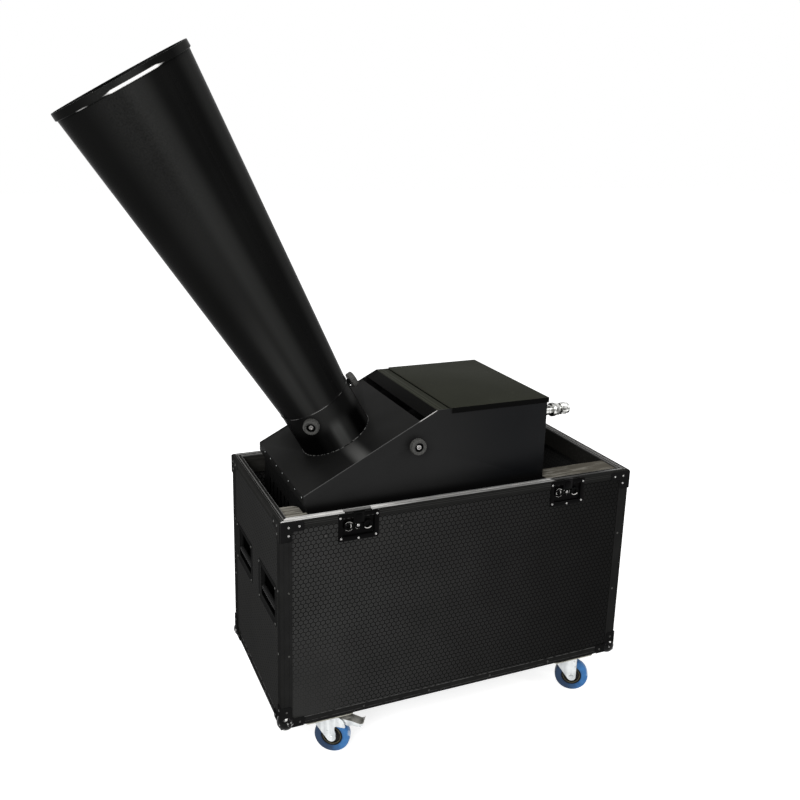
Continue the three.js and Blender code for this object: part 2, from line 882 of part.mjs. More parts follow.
// Everything on one side of the deck's plane, in the barrel's own directions
function besideDeck(from, to) {
  const reach = barrel.collarRadius + overrun;
  return block([-reach, -reach, from], [reach, reach, to]).rotateY(deckTurn);
}

function throughDeck(geometry) {
  return geometry.rotateY(-lean).translate(axisX, 0, axisRise);
}

function deckPlateWithHole() {
  const bore = barrel.collarRadius - barrel.collarWall;
  const hole = rod(bore, -barrel.collarRadius, barrel.collarRadius, facets.barrel);
  return joined(cut(deckPlate(), throughDeck(hole)), ...screwHeads());
}

function knobTurns() {
  return [0, -knobSectorTurn, knobSectorTurn].map((degrees) => THREE.MathUtils.degToRad(degrees));
}

function barrelCollar() {
  const tube = ring(
    barrel.collarRadius - barrel.collarWall,
    barrel.collarRadius,
    -barrel.collarWall - overrun,
    barrel.collarHeight,
    facets.barrel,
  );
  const holes = knobTurns().map((turn) =>
    aimed(rod(knob.holeRadius, 0, barrel.collarRadius + overrun, facets.small), [1, 0, 0])
      .translate(0, 0, knob.rise)
      .rotateZ(turn),
  );
  return cut(tube, besideDeck(-barrel.collarRadius, seat), ...holes);
}

// Cone with a band round its mouth and the spigot that drops into the collar
function barrelCone() {
  const foot = barrel.collarHeight + seat;
  const lipTop = foot + barrel.lipHeight;
  const slope = (barrel.mouthRadius - barrel.footRadius) / (barrel.mouthHeight - foot);
  const coneAt = (height) => barrel.footRadius + (height - foot) * slope;
  const spigotFoot = barrel.collarHeight - barrel.spigotDepth;
  const spigotIn = barrel.spigotRadius - barrel.wall;
  const bandFoot = barrel.mouthHeight - barrel.bandHeight;
  const bandRadius = barrel.mouthRadius + barrel.bandProud;
  return turned(
    [
      [spigotIn, spigotFoot],
      [barrel.spigotRadius, spigotFoot],
      [barrel.spigotRadius, foot],
      [barrel.lipRadius, foot],
      [barrel.lipRadius, lipTop],
      [coneAt(lipTop), lipTop],
      [coneAt(bandFoot), bandFoot],
      [bandRadius - barrel.bandChamfer, bandFoot],
      [bandRadius, bandFoot + barrel.bandChamfer],
      [bandRadius, barrel.mouthHeight],
      [barrel.mouthRadius - barrel.wall, barrel.mouthHeight],
      [coneAt(lipTop) - barrel.wall, lipTop],
      [spigotIn, foot],
      [spigotIn, spigotFoot],
    ],
    facets.barrel,
  );
}

// Tube under the deck, open towards the chute, with air holes round its base
function throatDuct() {
  const inner = throat.radius - throat.wall;
  const foot = -throat.length;
  const tube = turned(
    [
      [nozzle.stemRadius + seat, foot],
      [throat.radius, foot],
      [throat.radius, throat.radius],
      [inner, throat.radius],
      [inner, foot + throat.base],
      [nozzle.stemRadius + seat, foot + throat.base],
      [nozzle.stemRadius + seat, foot],
    ],
    facets.barrel,
  );
  const opening = block(
    [0, -throat.openingHalfWidth, -throat.openingBottom],
    [throat.radius + overrun, throat.openingHalfWidth, -throat.openingTop],
  );
  const vents = [];
  for (let index = 0; index < throat.vents; index += 1) {
    const turn = ((index + 1 / 2) / throat.vents) * 2 * Math.PI;
    const vent = rod(throat.ventRadius, foot - overrun, foot + throat.base + overrun, facets.small);
    vents.push(vent.translate(throat.ventCircle * Math.cos(turn), throat.ventCircle * Math.sin(turn), 0));
  }
  const above = besideDeck(-hood.sheet - seat, throat.radius * 2);
  return cut(tube, above, opening, ...vents);
}

function jetNozzle() {
  const seatRise = -throat.length + throat.base + seat;
  return rodOfSteps([
    [nozzle.stemRadius, -throat.length - nozzle.tailLength],
    [nozzle.stemRadius, seatRise],
    [nozzle.flangeRadius, seatRise],
    [nozzle.flangeRadius, seatRise + nozzle.flange],
    [nozzle.stemRadius, seatRise + nozzle.flange],
    [nozzle.tipRadius, seatRise + nozzle.length],
  ]);
}

// A turned solid whose outer steps are given from its foot upwards
function rodOfSteps(steps) {
  const first = steps[0][1];
  const last = steps[steps.length - 1][1];
  return turned([[0, first], ...steps, [0, last]], facets.knob);
}

// Trough under the lid that feeds the throat
function hopperChute() {
  const rear = hood.rearX - hood.sheet - seat;
  const fall = (chute.rearRise - chute.footRise) / (rear - chute.footX);
  const floor = slabAlongY(
    [
      [chute.footX, chute.footRise],
      [rear, chute.rearRise],
      [rear, chute.topRise],
      [rear - chute.sheet, chute.topRise],
      [rear - chute.sheet, chute.rearRise + chute.sheet - fall * chute.sheet],
      [chute.footX, chute.footRise + chute.sheet],
    ],
    -chute.halfWidth,
    chute.halfWidth,
  );
  const side = [
    [chute.footX, chute.footRise],
    [rear, chute.rearRise],
    [rear, chute.topRise],
    [chuteNose.shoulderX, chute.topRise],
    [chuteNose.x, chuteNose.rise],
  ];
  const walls = ends.map((hand) => {
    const [from, to] =
      hand < 0
        ? [-chute.halfWidth - chute.sheet, -chute.halfWidth]
        : [chute.halfWidth, chute.halfWidth + chute.sheet];
    return slabAlongY(side, from, to);
  });
  const duct = throughDeck(rod(throat.radius + seat, -throat.length, throat.radius, facets.barrel));
  return cut(joined(floor, ...walls), duct);
}

// Round knob on a threaded stud. The stud starts at the origin and the knob is up +Z.
function clampKnob(studLength) {
  const back = studLength + knob.standOff;
  const front = back + knob.height;
  const dish = front - knob.dishDepth;
  return turned(
    [
      [0, 0],
      [knob.studRadius, 0],
      [knob.studRadius, studLength + seat],
      [knob.stemRadius, studLength + seat],
      [knob.stemRadius, back],
      [knob.radius - knob.edgeRadius, back],
      [knob.radius, back + knob.edgeRadius],
      [knob.radius, front - knob.edgeRadius],
      [knob.radius - knob.edgeRadius, front],
      [knob.ringRadius, front],
      [knob.dishRadius, dish],
      [knob.boltRadius, dish],
      [knob.boltRadius, dish + knob.boltHeight],
      [0, dish + knob.boltHeight],
    ],
    facets.knob,
  );
}

// Gas line, from the coupling at the rear to the nozzle under the throat
function gasCoupling() {
  const face = seat;
  const body = inlet.bodyEnd;
  const flange = body + inlet.flangeWidth;
  const nut = flange + inlet.nutWidth;
  const turnedPart = rodOfSteps([
    [inlet.tailRadius, -inlet.inside],
    [inlet.tailRadius, face],
    [inlet.washerRadius, face],
    [inlet.washerRadius, inlet.washer],
    [inlet.bodyRadius, inlet.washer],
    [inlet.bodyRadius, body],
    [inlet.flangeRadius, body],
    [inlet.flangeRadius, flange],
    [inlet.nippleRadius, flange],
    [inlet.nippleRadius, inlet.end],
  ]);
  const hex = rod(inlet.nutRadius, flange - seat, nut, facets.hex);
  const bore = rod(inlet.boreRadius, inlet.end - inlet.boreDepth, inlet.end + overrun, facets.small);
  return aimed(cut(joined(turnedPart, hex), bore), [1, 0, 0]);
}

function couplingSleeve() {
  const start = inlet.end - sleeve.length;
  return aimed(ring(sleeve.bore, sleeve.radius, start, inlet.end, facets.knob), [1, 0, 0]);
}

function pipeAlong(points, steps) {
  const path = new THREE.CatmullRomCurve3(points.map((point) => new THREE.Vector3(...point)), false, "centripetal");
  const section = new THREE.Shape();
  section.absarc(0, 0, pipeRadius, 0, 2 * Math.PI);
  return new THREE.ExtrudeGeometry(section, { steps, curveSegments: facets.pipe, extrudePath: path });
}

function nozzlePipe() {
  const tail = -throat.length - nozzle.tailLength - seat;
  const [tailX, tailRise] = onAxis(tail);
  const [turnX, turnRise] = onAxis(tail - pipeBend.nozzleRun);
  const points = [
    [tailX, 0, tailRise],
    [turnX, 0, turnRise],
    [valve.startX - pipeBend.valveRun, 0, valve.rise],
    [valve.startX - seat, 0, valve.rise],
  ];
  return pipeAlong(points, facets.pipe);
}

function supplyPipe() {
  const valveEnd = valve.startX + valve.length;
  const pipeEnd = hood.rearX - inlet.inside - seat;
  const points = [
    [valveEnd + seat, 0, valve.rise],
    [valveEnd + pipeBend.valveRun, 0, valve.rise],
    [pipeBend.crossX, inletY / 2, pipeBend.crossRise],
    [pipeBend.riserX, inletY, pipeBend.riserFoot],
    [pipeBend.riserX, inletY, inlet.rise - pipeBend.elbow],
    [pipeEnd - pipeBend.elbow, inletY, inlet.rise],
    [pipeEnd - pipeBend.elbow / 2, inletY, inlet.rise],
    [pipeEnd, inletY, inlet.rise],
  ];
  return pipeAlong(points, facets.pipe * pipeBend.runs);
}

function solenoidValve() {
  const body = aimed(rod(valve.radius, valve.startX, valve.startX + valve.length, facets.small), [1, 0, 0]);
  const middle = valve.startX + valve.length / 2;
  const foot = block(
    [middle - valve.footLength / 2, -valve.footWidth / 2, tub.floorRise + tub.sheet + seat],
    [middle + valve.footLength / 2, valve.footWidth / 2, valve.rise],
  );
  const neck = rod(valve.radius / 2, valve.rise, valve.rise + valve.radius + coil.neck, facets.small);
  const coilFoot = valve.rise + valve.radius + coil.neck;
  const coilBody = rod(coil.radius, coilFoot - seat, coilFoot + coil.height, facets.small);
  return joined(
    body.translate(0, 0, valve.rise),
    foot,
    neck.translate(middle, 0, 0),
    coilBody.translate(middle, 0, 0),
  );
}

function controlBox() {
  const back = hood.rearX - hood.sheet - seat;
  const shell = block(
    [back - control.length, controlFar - control.width, control.lowRise],
    [back, controlFar, control.highRise],
  );
  const face = hood.rearX + socket.proud;
  const alongX = (radius, from, to) =>
    socketPlaces.map((y) =>
      aimed(rod(radius, from, to, facets.small), [1, 0, 0]).translate(0, y, socketRise),
    );
  const sockets = alongX(socket.radius, back - socket.proud, face);
  const bores = alongX(socket.boreRadius, face - socket.boreDepth, face + overrun);
  return cut(joined(shell, ...sockets), ...bores);
}

// Assembly
const blower = new THREE.Group();
const caseGroup = new THREE.Group();
caseGroup.position.z = castor.height;
blower.add(caseGroup);

function addCaseBody() {
  const { laminate, darkWood, rimAluminium, blackExtrusion } = palette;
  const back = block([-panelX, innerY, panelFoot], [panelX, panelY, panelTop]);
  piece(caseGroup, "case_front_panel", frontPanel(), laminate);
  piece(caseGroup, "case_back_panel", back, laminate);
  piece(caseGroup, "case_left_panel", endPanel(-1), laminate);
  piece(caseGroup, "case_right_panel", endPanel(1), laminate);
  piece(caseGroup, "case_floor_panel", floorPanel(), darkWood);
  piece(caseGroup, "lining_frame", liningFrame(), darkWood);
  piece(caseGroup, "rim_extrusion", rimExtrusion(), rimAluminium);
  piece(caseGroup, "case_edging", caseEdging(), blackExtrusion);
}

function addLatches() {
  const names = ["left", "right"];
  const panFloor = -panelY - seat + latch.panDepth - latch.panWall;
  ends.forEach((side, index) => {
    piece(caseGroup, `latch_dish_${names[index]}`, latchDish(side), palette.blackSteel);
    const key = piece(caseGroup, `latch_key_${names[index]}`, latchKey(), palette.blackSteel);
    key.position.set(side * latch.centre, panFloor - seat, flightCase.height - latch.drop + latch.keyRise);
    const hook = piece(caseGroup, `latch_hook_${names[index]}`, latchHook(), palette.blackSteel);
    const hookFoot = flightCase.height - latch.hookHeight;
    hook.position.set(side * latch.centre, -panelY - seat, hookFoot);
  });
}

function addHandles() {
  const sideNames = ["left", "right"];
  const placeNames = ["front", "back"];
  ends.forEach((side, sideIndex) => {
    ends.forEach((place, placeIndex) => {
      const tag = `${sideNames[sideIndex]}_${placeNames[placeIndex]}`;
      piece(caseGroup, `handle_dish_${tag}`, handleDish(side, place), palette.blackSteel);
      const bail = piece(caseGroup, `handle_bail_${tag}`, handleBail(), palette.blackSteel);
      bail.position.set(
        side * (panelX - handle.pivotInset),
        (place * handleSpacing) / 2,
        handle.centreRise + handle.pivotRise,
      );
    });
  });
}

function addCastors() {
  const x = halfLength - castor.fromEnd;
  const y = halfWidth - castor.plateWidth / 2;
  for (const [sideX, sideY] of corners) {
    const tag = `${sideX < 0 ? "left" : "right"}_${sideY < 0 ? "front" : "back"}`;
    const mount = new THREE.Group();
    mount.position.set(sideX * x, sideY * y, -seat);
    caseGroup.add(mount);
    piece(mount, `castor_plate_${tag}`, castorPlate(), palette.zinc);
    const swivel = new THREE.Group();
    swivel.rotation.z = THREE.MathUtils.degToRad(sideY * castor.swivelTurn);
    mount.add(swivel);
    piece(swivel, `castor_fork_${tag}`, castorFork(), palette.zinc);
    const wheel = piece(swivel, `castor_wheel_${tag}`, castorWheel(), palette.wheelBlue);
    wheel.position.set(castor.trail, 0, castor.wheelRadius - castor.height + seat);
    if (sideX < 0) {
      const lever = piece(swivel, `brake_pedal_${tag}`, brakePedal(), palette.zinc);
      lever.position.set(pedal.pivotAhead, 0, -pedal.pivotDrop);
    }
  }
}

function addWoodwork() {
  piece(caseGroup, "shelf_board", shelfBoard(), palette.plywood);
}

const machine = new THREE.Group();
machine.position.y = hood.centreY;
caseGroup.add(machine);

function addHood() {
  const { hoodCoat } = palette;
  piece(machine, "hood_front_side", hoodSide(-1), hoodCoat);
  piece(machine, "hood_back_side", hoodSide(1), hoodCoat);
  piece(machine, "deck_plate", deckPlateWithHole(), hoodCoat);
  piece(machine, "strip_plate", stripPlate(), hoodCoat);
  piece(machine, "top_lid", topLid(), hoodCoat);
  piece(machine, "rear_panel", rearPanel(), hoodCoat);
  piece(machine, "lower_tub", lowerTub(), hoodCoat);
}

function addBarrel() {
  const axis = new THREE.Group();
  axis.position.set(axisX, 0, axisRise);
  axis.rotation.y = -lean;
  machine.add(axis);
  piece(axis, "barrel_collar", barrelCollar(), palette.barrelCoat);
  piece(axis, "barrel_cone", barrelCone(), palette.barrelCoat);
  piece(axis, "throat_duct", throatDuct(), palette.innerSheet);
  piece(axis, "jet_nozzle", jetNozzle(), palette.brass);
  const names = ["rear", "front", "back"];
  const start = barrel.spigotRadius + seat;
  knobTurns().forEach((turn, index) => {
    const stud = barrel.collarRadius - start;
    const grip = aimed(clampKnob(stud), [1, 0, 0]).translate(start, 0, 0);
    const mesh = piece(axis, `collar_knob_${names[index]}`, grip, palette.knobPlastic);
    mesh.position.z = knob.rise;
    mesh.rotation.z = turn;
  });
}

function addSideKnobs() {
  const names = ["front", "back"];
  const length = sideKnob.studIn + hood.skin;
  ends.forEach((hand, index) => {
    const grip = aimed(clampKnob(length), [0, hand, 0]);
    const mesh = piece(machine, `side_knob_${names[index]}`, grip, palette.knobPlastic);
    mesh.position.set(sideKnobX, hand * (hoodHalf - length), sideKnobRise);
  });
}

function addWorks() {
  const coupling = piece(machine, "gas_coupling", gasCoupling(), palette.chrome);
  const ringMesh = piece(machine, "coupling_sleeve", couplingSleeve(), palette.chrome);
  for (const mesh of [coupling, ringMesh]) mesh.position.set(hood.rearX, inletY, inlet.rise);
  piece(machine, "nozzle_pipe", nozzlePipe(), palette.stainless);
  piece(machine, "supply_pipe", supplyPipe(), palette.stainless);
  piece(machine, "solenoid_valve", solenoidValve(), palette.brass);
  piece(machine, "hopper_chute", hopperChute(), palette.innerSheet);
  piece(machine, "control_box", controlBox(), palette.blackSteel);
}

addCaseBody();
addLatches();
addHandles();
addCastors();
addWoodwork();
addHood();
addBarrel();
addSideKnobs();
addWorks();

const bounds = new THREE.Box3().setFromObject(blower);
const middle = bounds.getCenter(new THREE.Vector3());
blower.position.set(-middle.x, -middle.y, -bounds.min.z);

export default blower;
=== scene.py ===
import math

import bpy
from mathutils import Matrix, Vector


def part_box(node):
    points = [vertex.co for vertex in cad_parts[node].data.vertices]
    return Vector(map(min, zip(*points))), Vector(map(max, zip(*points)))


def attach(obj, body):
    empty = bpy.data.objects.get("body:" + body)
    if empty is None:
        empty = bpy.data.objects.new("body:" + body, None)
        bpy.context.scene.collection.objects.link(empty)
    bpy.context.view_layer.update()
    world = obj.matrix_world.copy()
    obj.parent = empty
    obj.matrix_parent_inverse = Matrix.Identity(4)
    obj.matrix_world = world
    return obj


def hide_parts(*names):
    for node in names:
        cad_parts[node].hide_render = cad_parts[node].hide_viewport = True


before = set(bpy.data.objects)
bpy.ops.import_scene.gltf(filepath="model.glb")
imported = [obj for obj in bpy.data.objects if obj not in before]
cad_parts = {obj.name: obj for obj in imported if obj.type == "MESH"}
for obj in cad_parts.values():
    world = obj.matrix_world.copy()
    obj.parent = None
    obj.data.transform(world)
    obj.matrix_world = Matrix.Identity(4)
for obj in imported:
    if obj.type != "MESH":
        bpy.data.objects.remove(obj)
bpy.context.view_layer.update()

# Camera. It stands in front of the case and a little to its left, above the hood, and is turned
# slightly on its own axis.
camera = bpy.data.objects.new("camera", bpy.data.cameras.new("camera"))
bpy.context.scene.collection.objects.link(camera)
bpy.context.scene.camera = camera
camera_place = Vector((-0.8613, -2.1710, 1.6638))
heading, fall, roll = (math.radians(angle) for angle in (-22.42, 14.24, 1.12))
camera_turn = (
    Matrix.Rotation(heading, 4, "Z")
    @ Matrix.Rotation(math.radians(90) - fall, 4, "X")
    @ Matrix.Rotation(roll, 4, "Z")
)
camera.matrix_world = Matrix.Translation(camera_place) @ camera_turn
camera.data.lens = 39.58
camera.data.shift_x = 0.0361
camera.data.shift_y = -0.0617
camera.data.clip_end = 40


# Panels of the flight case. They are birch plywood faced with a black phenolic laminate that has
# a raised hexagon pattern, let into aluminium edgings and riveted.
class Link:
    """An output of a finish's node tree. Arithmetic on it adds Math nodes."""

    def __init__(self, finish, socket):
        self.finish = finish
        self.socket = socket

    def apply(self, operation, *others):
        values = dict(enumerate((self, *others)))
        return self.finish.node("ShaderNodeMath", {"operation": operation}, values)

    def __add__(self, other):
        return self.apply("ADD", other)

    def __sub__(self, other):
        return self.apply("SUBTRACT", other)

    def __mul__(self, other):
        return self.apply("MULTIPLY", other)

    def __truediv__(self, other):
        return self.apply("DIVIDE", other)

    def __rsub__(self, other):
        return self.finish.node("ShaderNodeMath", {"operation": "SUBTRACT"}, {0: other, 1: self})

    __radd__ = __add__

    def __abs__(self):
        return self.apply("ABSOLUTE")

    def fades(self, low, high):
        """0 below low, 1 above high, and smooth between."""
        settings = {"interpolation_type": "SMOOTHSTEP"}
        inputs = {"Value": self, "From Min": low, "From Max": high}
        return self.finish.node("ShaderNodeMapRange", settings, inputs)

    def line(self, middle, half_width):
        """1 on a thin line where this is near the middle, and 0 away from it."""
        return 1 - abs(self - middle).fades(half_width * 0.6, half_width * 1.3)


class Finish:
    """A material in the making, with its shader and a link to the place on the object."""

    def __init__(self, name, roughness=0.5, metallic=0.0, specular=0.5):
        self.material = bpy.data.materials.new(name)
        self.material.use_nodes = True
        self.tree = self.material.node_tree
        self.shader = self.tree.nodes["Principled BSDF"]
        self.shader.inputs["Roughness"].default_value = roughness
        self.shader.inputs["Metallic"].default_value = metallic
        self.shader.inputs["Specular IOR Level"].default_value = specular
        self.place = self.node("ShaderNodeTexCoord", output="Object")

    def node(self, kind, settings=None, inputs=None, output=0):
        node = self.tree.nodes.new(kind)
        for name, value in (settings or {}).items():
            if name == "stops":
                for element, (position, shade) in zip(node.color_ramp.elements, value):
                    element.position = position
                    element.color = (*shade, 1)
            else:
                setattr(node, name, value)
        for name, value in (inputs or {}).items():
            self.feed(node.inputs[name], value)
        return Link(self, node.outputs[output])

    def feed(self, socket, value):
        if isinstance(value, Link):
            self.tree.links.new(value.socket, socket)
        elif socket.type == "RGBA":
            socket.default_value = (*value, 1)
        else:
            socket.default_value = value

    def set(self, name, value):
        self.feed(self.shader.inputs[name], value)

    def axes(self):
        split = self.node("ShaderNodeSeparateXYZ", inputs={0: self.place})
        outputs = split.socket.node.outputs
        return [Link(self, outputs[index]) for index in range(3)]

    def in_case(self):
        """The place, measured from the middle of the case's underside."""
        x, y, z = self.axes()
        return x - case_middle_x, y, z - case_foot

    def stretched(self, scale):
        return self.node("ShaderNodeMapping", inputs={"Vector": self.place, "Scale": scale})

    def noise(self, scale, detail=3.0, place=None):
        inputs = {"Vector": place or self.place, "Scale": scale, "Detail": detail}
        return self.node("ShaderNodeTexNoise", {"noise_dimensions": "3D"}, inputs)

    def blend(self, share, first, second):
        ramp = {"stops": [(0, first), (1, second)]}
        return self.node("ShaderNodeValToRGB", ramp, {"Fac": share})

    def mix(self, share, first, second):
        settings = {"data_type": "RGBA"}
        return self.node("ShaderNodeMix", settings, {0: share, 6: first, 7: second}, 2)

    def colour(self, share, low, high):
        self.set("Base Color", self.blend(share, low, high))

    def cover(self, share, under, over):
        self.set("Base Color", self.mix(share, under, over))

    def gloss(self, middle, share, spread):
        self.set("Roughness", middle + (share - 0.5) * spread)

    def bump(self, height, distance, strength=1.0):
        inputs = {"Height": height, "Distance": distance, "Strength": strength}
        self.set("Normal", self.node("ShaderNodeBump", None, inputs))


half_length, half_width, case_height = 0.525, 0.250, 0.590
case_middle_x = sum(corner.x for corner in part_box("rim_extrusion")) / 2
case_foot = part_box("rim_extrusion")[1].z - case_height


def hexagon_laminate(name, across, outline, face, wear_and_shade, polish):
    """Laminate with hexagons whose rows run along the axis numbered across. Painted shade darkens it
    towards the right, by the given share, and the polish rubs it smooth in its lower left corner."""
    finish = Finish(name, specular=0.0)
    axes = finish.axes()
    x, _, z = finish.in_case()
    pitch = 0.0134
    row = pitch * math.sqrt(3)

    def cell(shift):
        u = (axes[across] / pitch + shift).apply("FRACT") - 0.5
        v = (axes[2] / row + shift).apply("FRACT") - 0.5
        return abs(u), abs(v * math.sqrt(3))

    def reach(u, v):
        return (u * 0.5 + v * (math.sqrt(3) / 2)).apply("MAXIMUM", u)

    inside = reach(*cell(0.0)).apply("MINIMUM", reach(*cell(0.5)))
    polished = (1 - x.fades(-0.47, -0.25)) * (1 - z.fades(0.02, 0.34)) * polish
    raised = 1 - inside.fades(0.39, 0.47)
    raised = raised + polished * (0.86 - raised)
    button = 1 - inside.fades(0.05, 0.15)
    dirt = finish.noise(9.0, 5.0)
    film = finish.noise(140.0, 2.0)
    # Painted shade: the laminate is darker towards the right, away from the light.
    unshaded_share = 1 - x.fades(-0.62, 0.62) * wear_and_shade
    shade = raised * unshaded_share * (0.68 + dirt * 0.5 - button * 0.22)
    finish.colour(shade, outline, face)
    finish.set("Roughness", 0.62 - raised * 0.16 + (film - 0.5) * 0.12)
    finish.bump(raised * 0.8 + film * 0.05, 0.0005, 0.5)
    return finish


def dress(node, finish):
    """Gives a solid of the frame its finish."""
    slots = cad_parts[node].data.materials
    slots.clear()
    slots.append(finish.material)


# One laminate in two copies: the copy for the ends has a darker face and lighter outlines, as painted shade
# on the ends.
front_laminate = hexagon_laminate("laminate_front", 0, (0.0030,) * 3, (0.0365, 0.0365, 0.0357), 0.78, 0.9)
end_laminate = hexagon_laminate("laminate_end", 1, (0.016,) * 3, (0.030, 0.030, 0.0293), 0.0, 0.0)
for node in ("case_front_panel", "case_back_panel"):
    dress(node, front_laminate)
for node in ("case_left_panel", "case_right_panel"):
    dress(node, end_laminate)


# Woodwork inside the case. The shelf is pale unfinished plywood, screwed down along the front and
# notched for the machine, with painted shade, near black, on its front strip along the notch. The
# lining strips and the floor are the same ply, painted darker as painted shade inside the case.
shelf_notch = (-0.450, 0.2665)


def plywood(name, light, dark, weave):
    finish = Finish(name, specular=0.0)
    grain_run = finish.stretched((3.0, 34.0, 34.0))
    grain = finish.noise(4.0, 8.0, grain_run)
    fine = finish.noise(26.0, 4.0, grain_run)
    blot = finish.noise(7.0, 4.0)
    share = (grain - 0.3) * 1.2 + (fine - 0.5) * 0.6 + (blot - 0.5) * weave
    x, y, z = finish.in_case()
    # Painted shade: the ply darkens towards the right, away from the light.
    grain_and_shade = finish.blend(share - x.fades(-0.40, 0.10) * 0.28, dark, light)
    # Painted shade, near black, on the shelf's front strip in front of the notch.
    notch_shade = x.fades(shelf_notch[0] + 0.0040, shelf_notch[0] + 0.0100)
    notch_shade = notch_shade * (1 - x.fades(shelf_notch[1] - 0.0045, shelf_notch[1] + 0.0015))
    notch_shade = notch_shade * (1 - y.fades(-0.1990, -0.1985)) * z.fades(0.570, 0.5705)
    finish.cover(notch_shade, grain_and_shade, (0.003, 0.003, 0.003))
    finish.gloss(0.72, fine, 0.2)
    finish.bump(grain * 0.6 + fine * 0.4, 0.0004, 0.6)
    return finish


pale_ply = plywood("pale_plywood", (0.62, 0.60, 0.53), (0.085, 0.078, 0.064), 0.8)
# A darker copy of the same ply, as painted shade inside the case.
shaded_ply = plywood("shaded_plywood", (0.046, 0.0455, 0.042), (0.014, 0.0135, 0.012), 0.4)
dress("case_floor_panel", shaded_ply)
dress("lining_frame", shaded_ply)


def case_at(x, y, z):
    """A place in the case, in metres from the middle of its underside."""
    return Vector((case_middle_x + x, y, case_foot + z))


def deselect():
    bpy.ops.object.select_all(action="DESELECT")


def draw(points):
    """Starts a mesh as one vertex drawn from point to point, and leaves it all selected."""
    deselect()
    bpy.ops.mesh.primitive_plane_add(size=0.001, location=points[0])
    bpy.ops.object.mode_set(mode="EDIT")
    bpy.ops.mesh.select_mode(type="VERT")
    bpy.ops.mesh.merge(type="CENTER")
    for start, end in zip(points, points[1:]):
        step = Vector(end) - Vector(start)
        bpy.ops.mesh.extrude_region_move(TRANSFORM_OT_translate={"value": step})
    bpy.ops.mesh.select_all(action="SELECT")


def finished(name):
    """Closes doubles, turns the faces outwards and leaves the piece at the origin."""
    bpy.ops.mesh.select_all(action="SELECT")
    bpy.ops.mesh.remove_doubles(threshold=0.000002)
    bpy.ops.mesh.normals_make_consistent(inside=False)
    bpy.ops.object.mode_set(mode="OBJECT")
    bpy.ops.object.transform_apply(location=True, rotation=True, scale=True)
    piece = bpy.context.object
    piece.name = name
    return piece


def slab(name, points, push):
    """A plate with the drawn outline, as thick as the push is long."""
    draw(points)
    bpy.ops.mesh.edge_face_add()
    bpy.ops.mesh.extrude_region_move(TRANSFORM_OT_translate={"value": push})
    return finished(name)


def activate(piece):
    deselect()
    piece.select_set(True)
    bpy.context.view_layer.objects.active = piece


def soften(piece, width, segments=2):
    """Rounds the sharp edges, as a press or a file leaves them."""
    bevel = piece.modifiers.new("edges", "BEVEL")
    bevel.width = width
    bevel.segments = segments
    bevel.limit_method = "ANGLE"
    bevel.angle_limit = math.radians(32)
    activate(piece)
    bpy.ops.object.modifier_apply(modifier="edges")
    bpy.ops.object.shade_smooth_by_angle(angle=math.radians(36))
    return piece


def fit(piece, body, slot, finish, *nodes):
    """Gives a piece its finish and its body, and hides the solids of the frame that it stands for."""
    piece.data.materials.clear()
    piece.data.materials.append(finish.material)
    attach(piece, body)
    if nodes:
        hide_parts(*nodes)
    return piece


def arc(centre, radius, start, end, steps):
    """Points round part of a circle, in degrees."""
    turns = [math.radians(start + (end - start) * step / steps) for step in range(steps + 1)]
    return [(centre[0] + radius * math.cos(a), centre[1] + radius * math.sin(a)) for a in turns]


shelf_low, shelf_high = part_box("shelf_board")
machine_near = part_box("hood_front_side")[0].y - 0.002
notch_left, notch_right = (case_at(edge, 0, 0).x for edge in shelf_notch)
shelf_outline = [
    (shelf_low.x, shelf_low.y),
    (shelf_high.x, shelf_low.y),
    (shelf_high.x, shelf_high.y),
    *arc((notch_right + 0.016, shelf_high.y - 0.016), 0.016, 90, 180, 6),
    (notch_right, machine_near),
    (notch_left, machine_near),
    *arc((notch_left - 0.020, shelf_high.y - 0.020), 0.020, 0, 90, 6),
    (shelf_low.x, shelf_high.y),
]
shelf_points = [(x, y, shelf_low.z) for x, y in shelf_outline]
shelf = slab("shelf", shelf_points, (0, 0, shelf_high.z - shelf_low.z))
fit(soften(shelf, 0.0012), "case", "plywood", pale_ply, "shelf_board")


# Rim of the case. It is a drawn aluminium hybrid extrusion, mitred at the corners, with a groove
# for the cover's tongue and fine ribs down its face, and it is notched for the two latches.
def framed(name, profile):
    """A mitred frame round the case. The profile is given as inset and height, in metres."""
    length, width = 2 * half_length, 2 * half_width
    inset, height = profile[0]
    deselect()
    bpy.ops.mesh.primitive_plane_add(size=1, location=case_at(0, 0, height))
    bpy.context.object.scale = (length - 2 * inset, width - 2 * inset, 1)
    bpy.ops.object.transform_apply(location=False, rotation=False, scale=True)
    bpy.ops.object.mode_set(mode="EDIT")
    bpy.ops.mesh.delete(type="ONLY_FACE")
    bpy.ops.mesh.select_all(action="SELECT")
    for new_inset, new_height in [*profile[1:], profile[0]]:
        step = (0, 0, new_height - height)
        bpy.ops.mesh.extrude_edges_move(TRANSFORM_OT_translate={"value": step})
        ratios = [(size - 2 * new_inset) / (size - 2 * inset) for size in (length, width)]
        bpy.ops.transform.resize(value=(*ratios, 1), center_override=case_at(0, 0, new_height))
        inset, height = new_inset, new_height
    return finished(name)


def carve(piece, low, high):
    """Cuts a box out of a piece."""
    deselect()
    middle = (Vector(low) + Vector(high)) / 2
    bpy.ops.mesh.primitive_cube_add(size=1, location=middle, scale=Vector(high) - Vector(low))
    cutter = bpy.context.object
    hole = piece.modifiers.new("hole", "BOOLEAN")
    hole.operation = "DIFFERENCE"
    hole.solver = "EXACT"
    hole.object = cutter
    activate(piece)
    bpy.ops.object.modifier_apply(modifier="hole")
    bpy.data.objects.remove(cutter)
    return piece


def mm(*points):
    """The points of an outline, drawn in millimetres and given back in metres."""
    return [(a / 1000, b / 1000) for a, b in points]


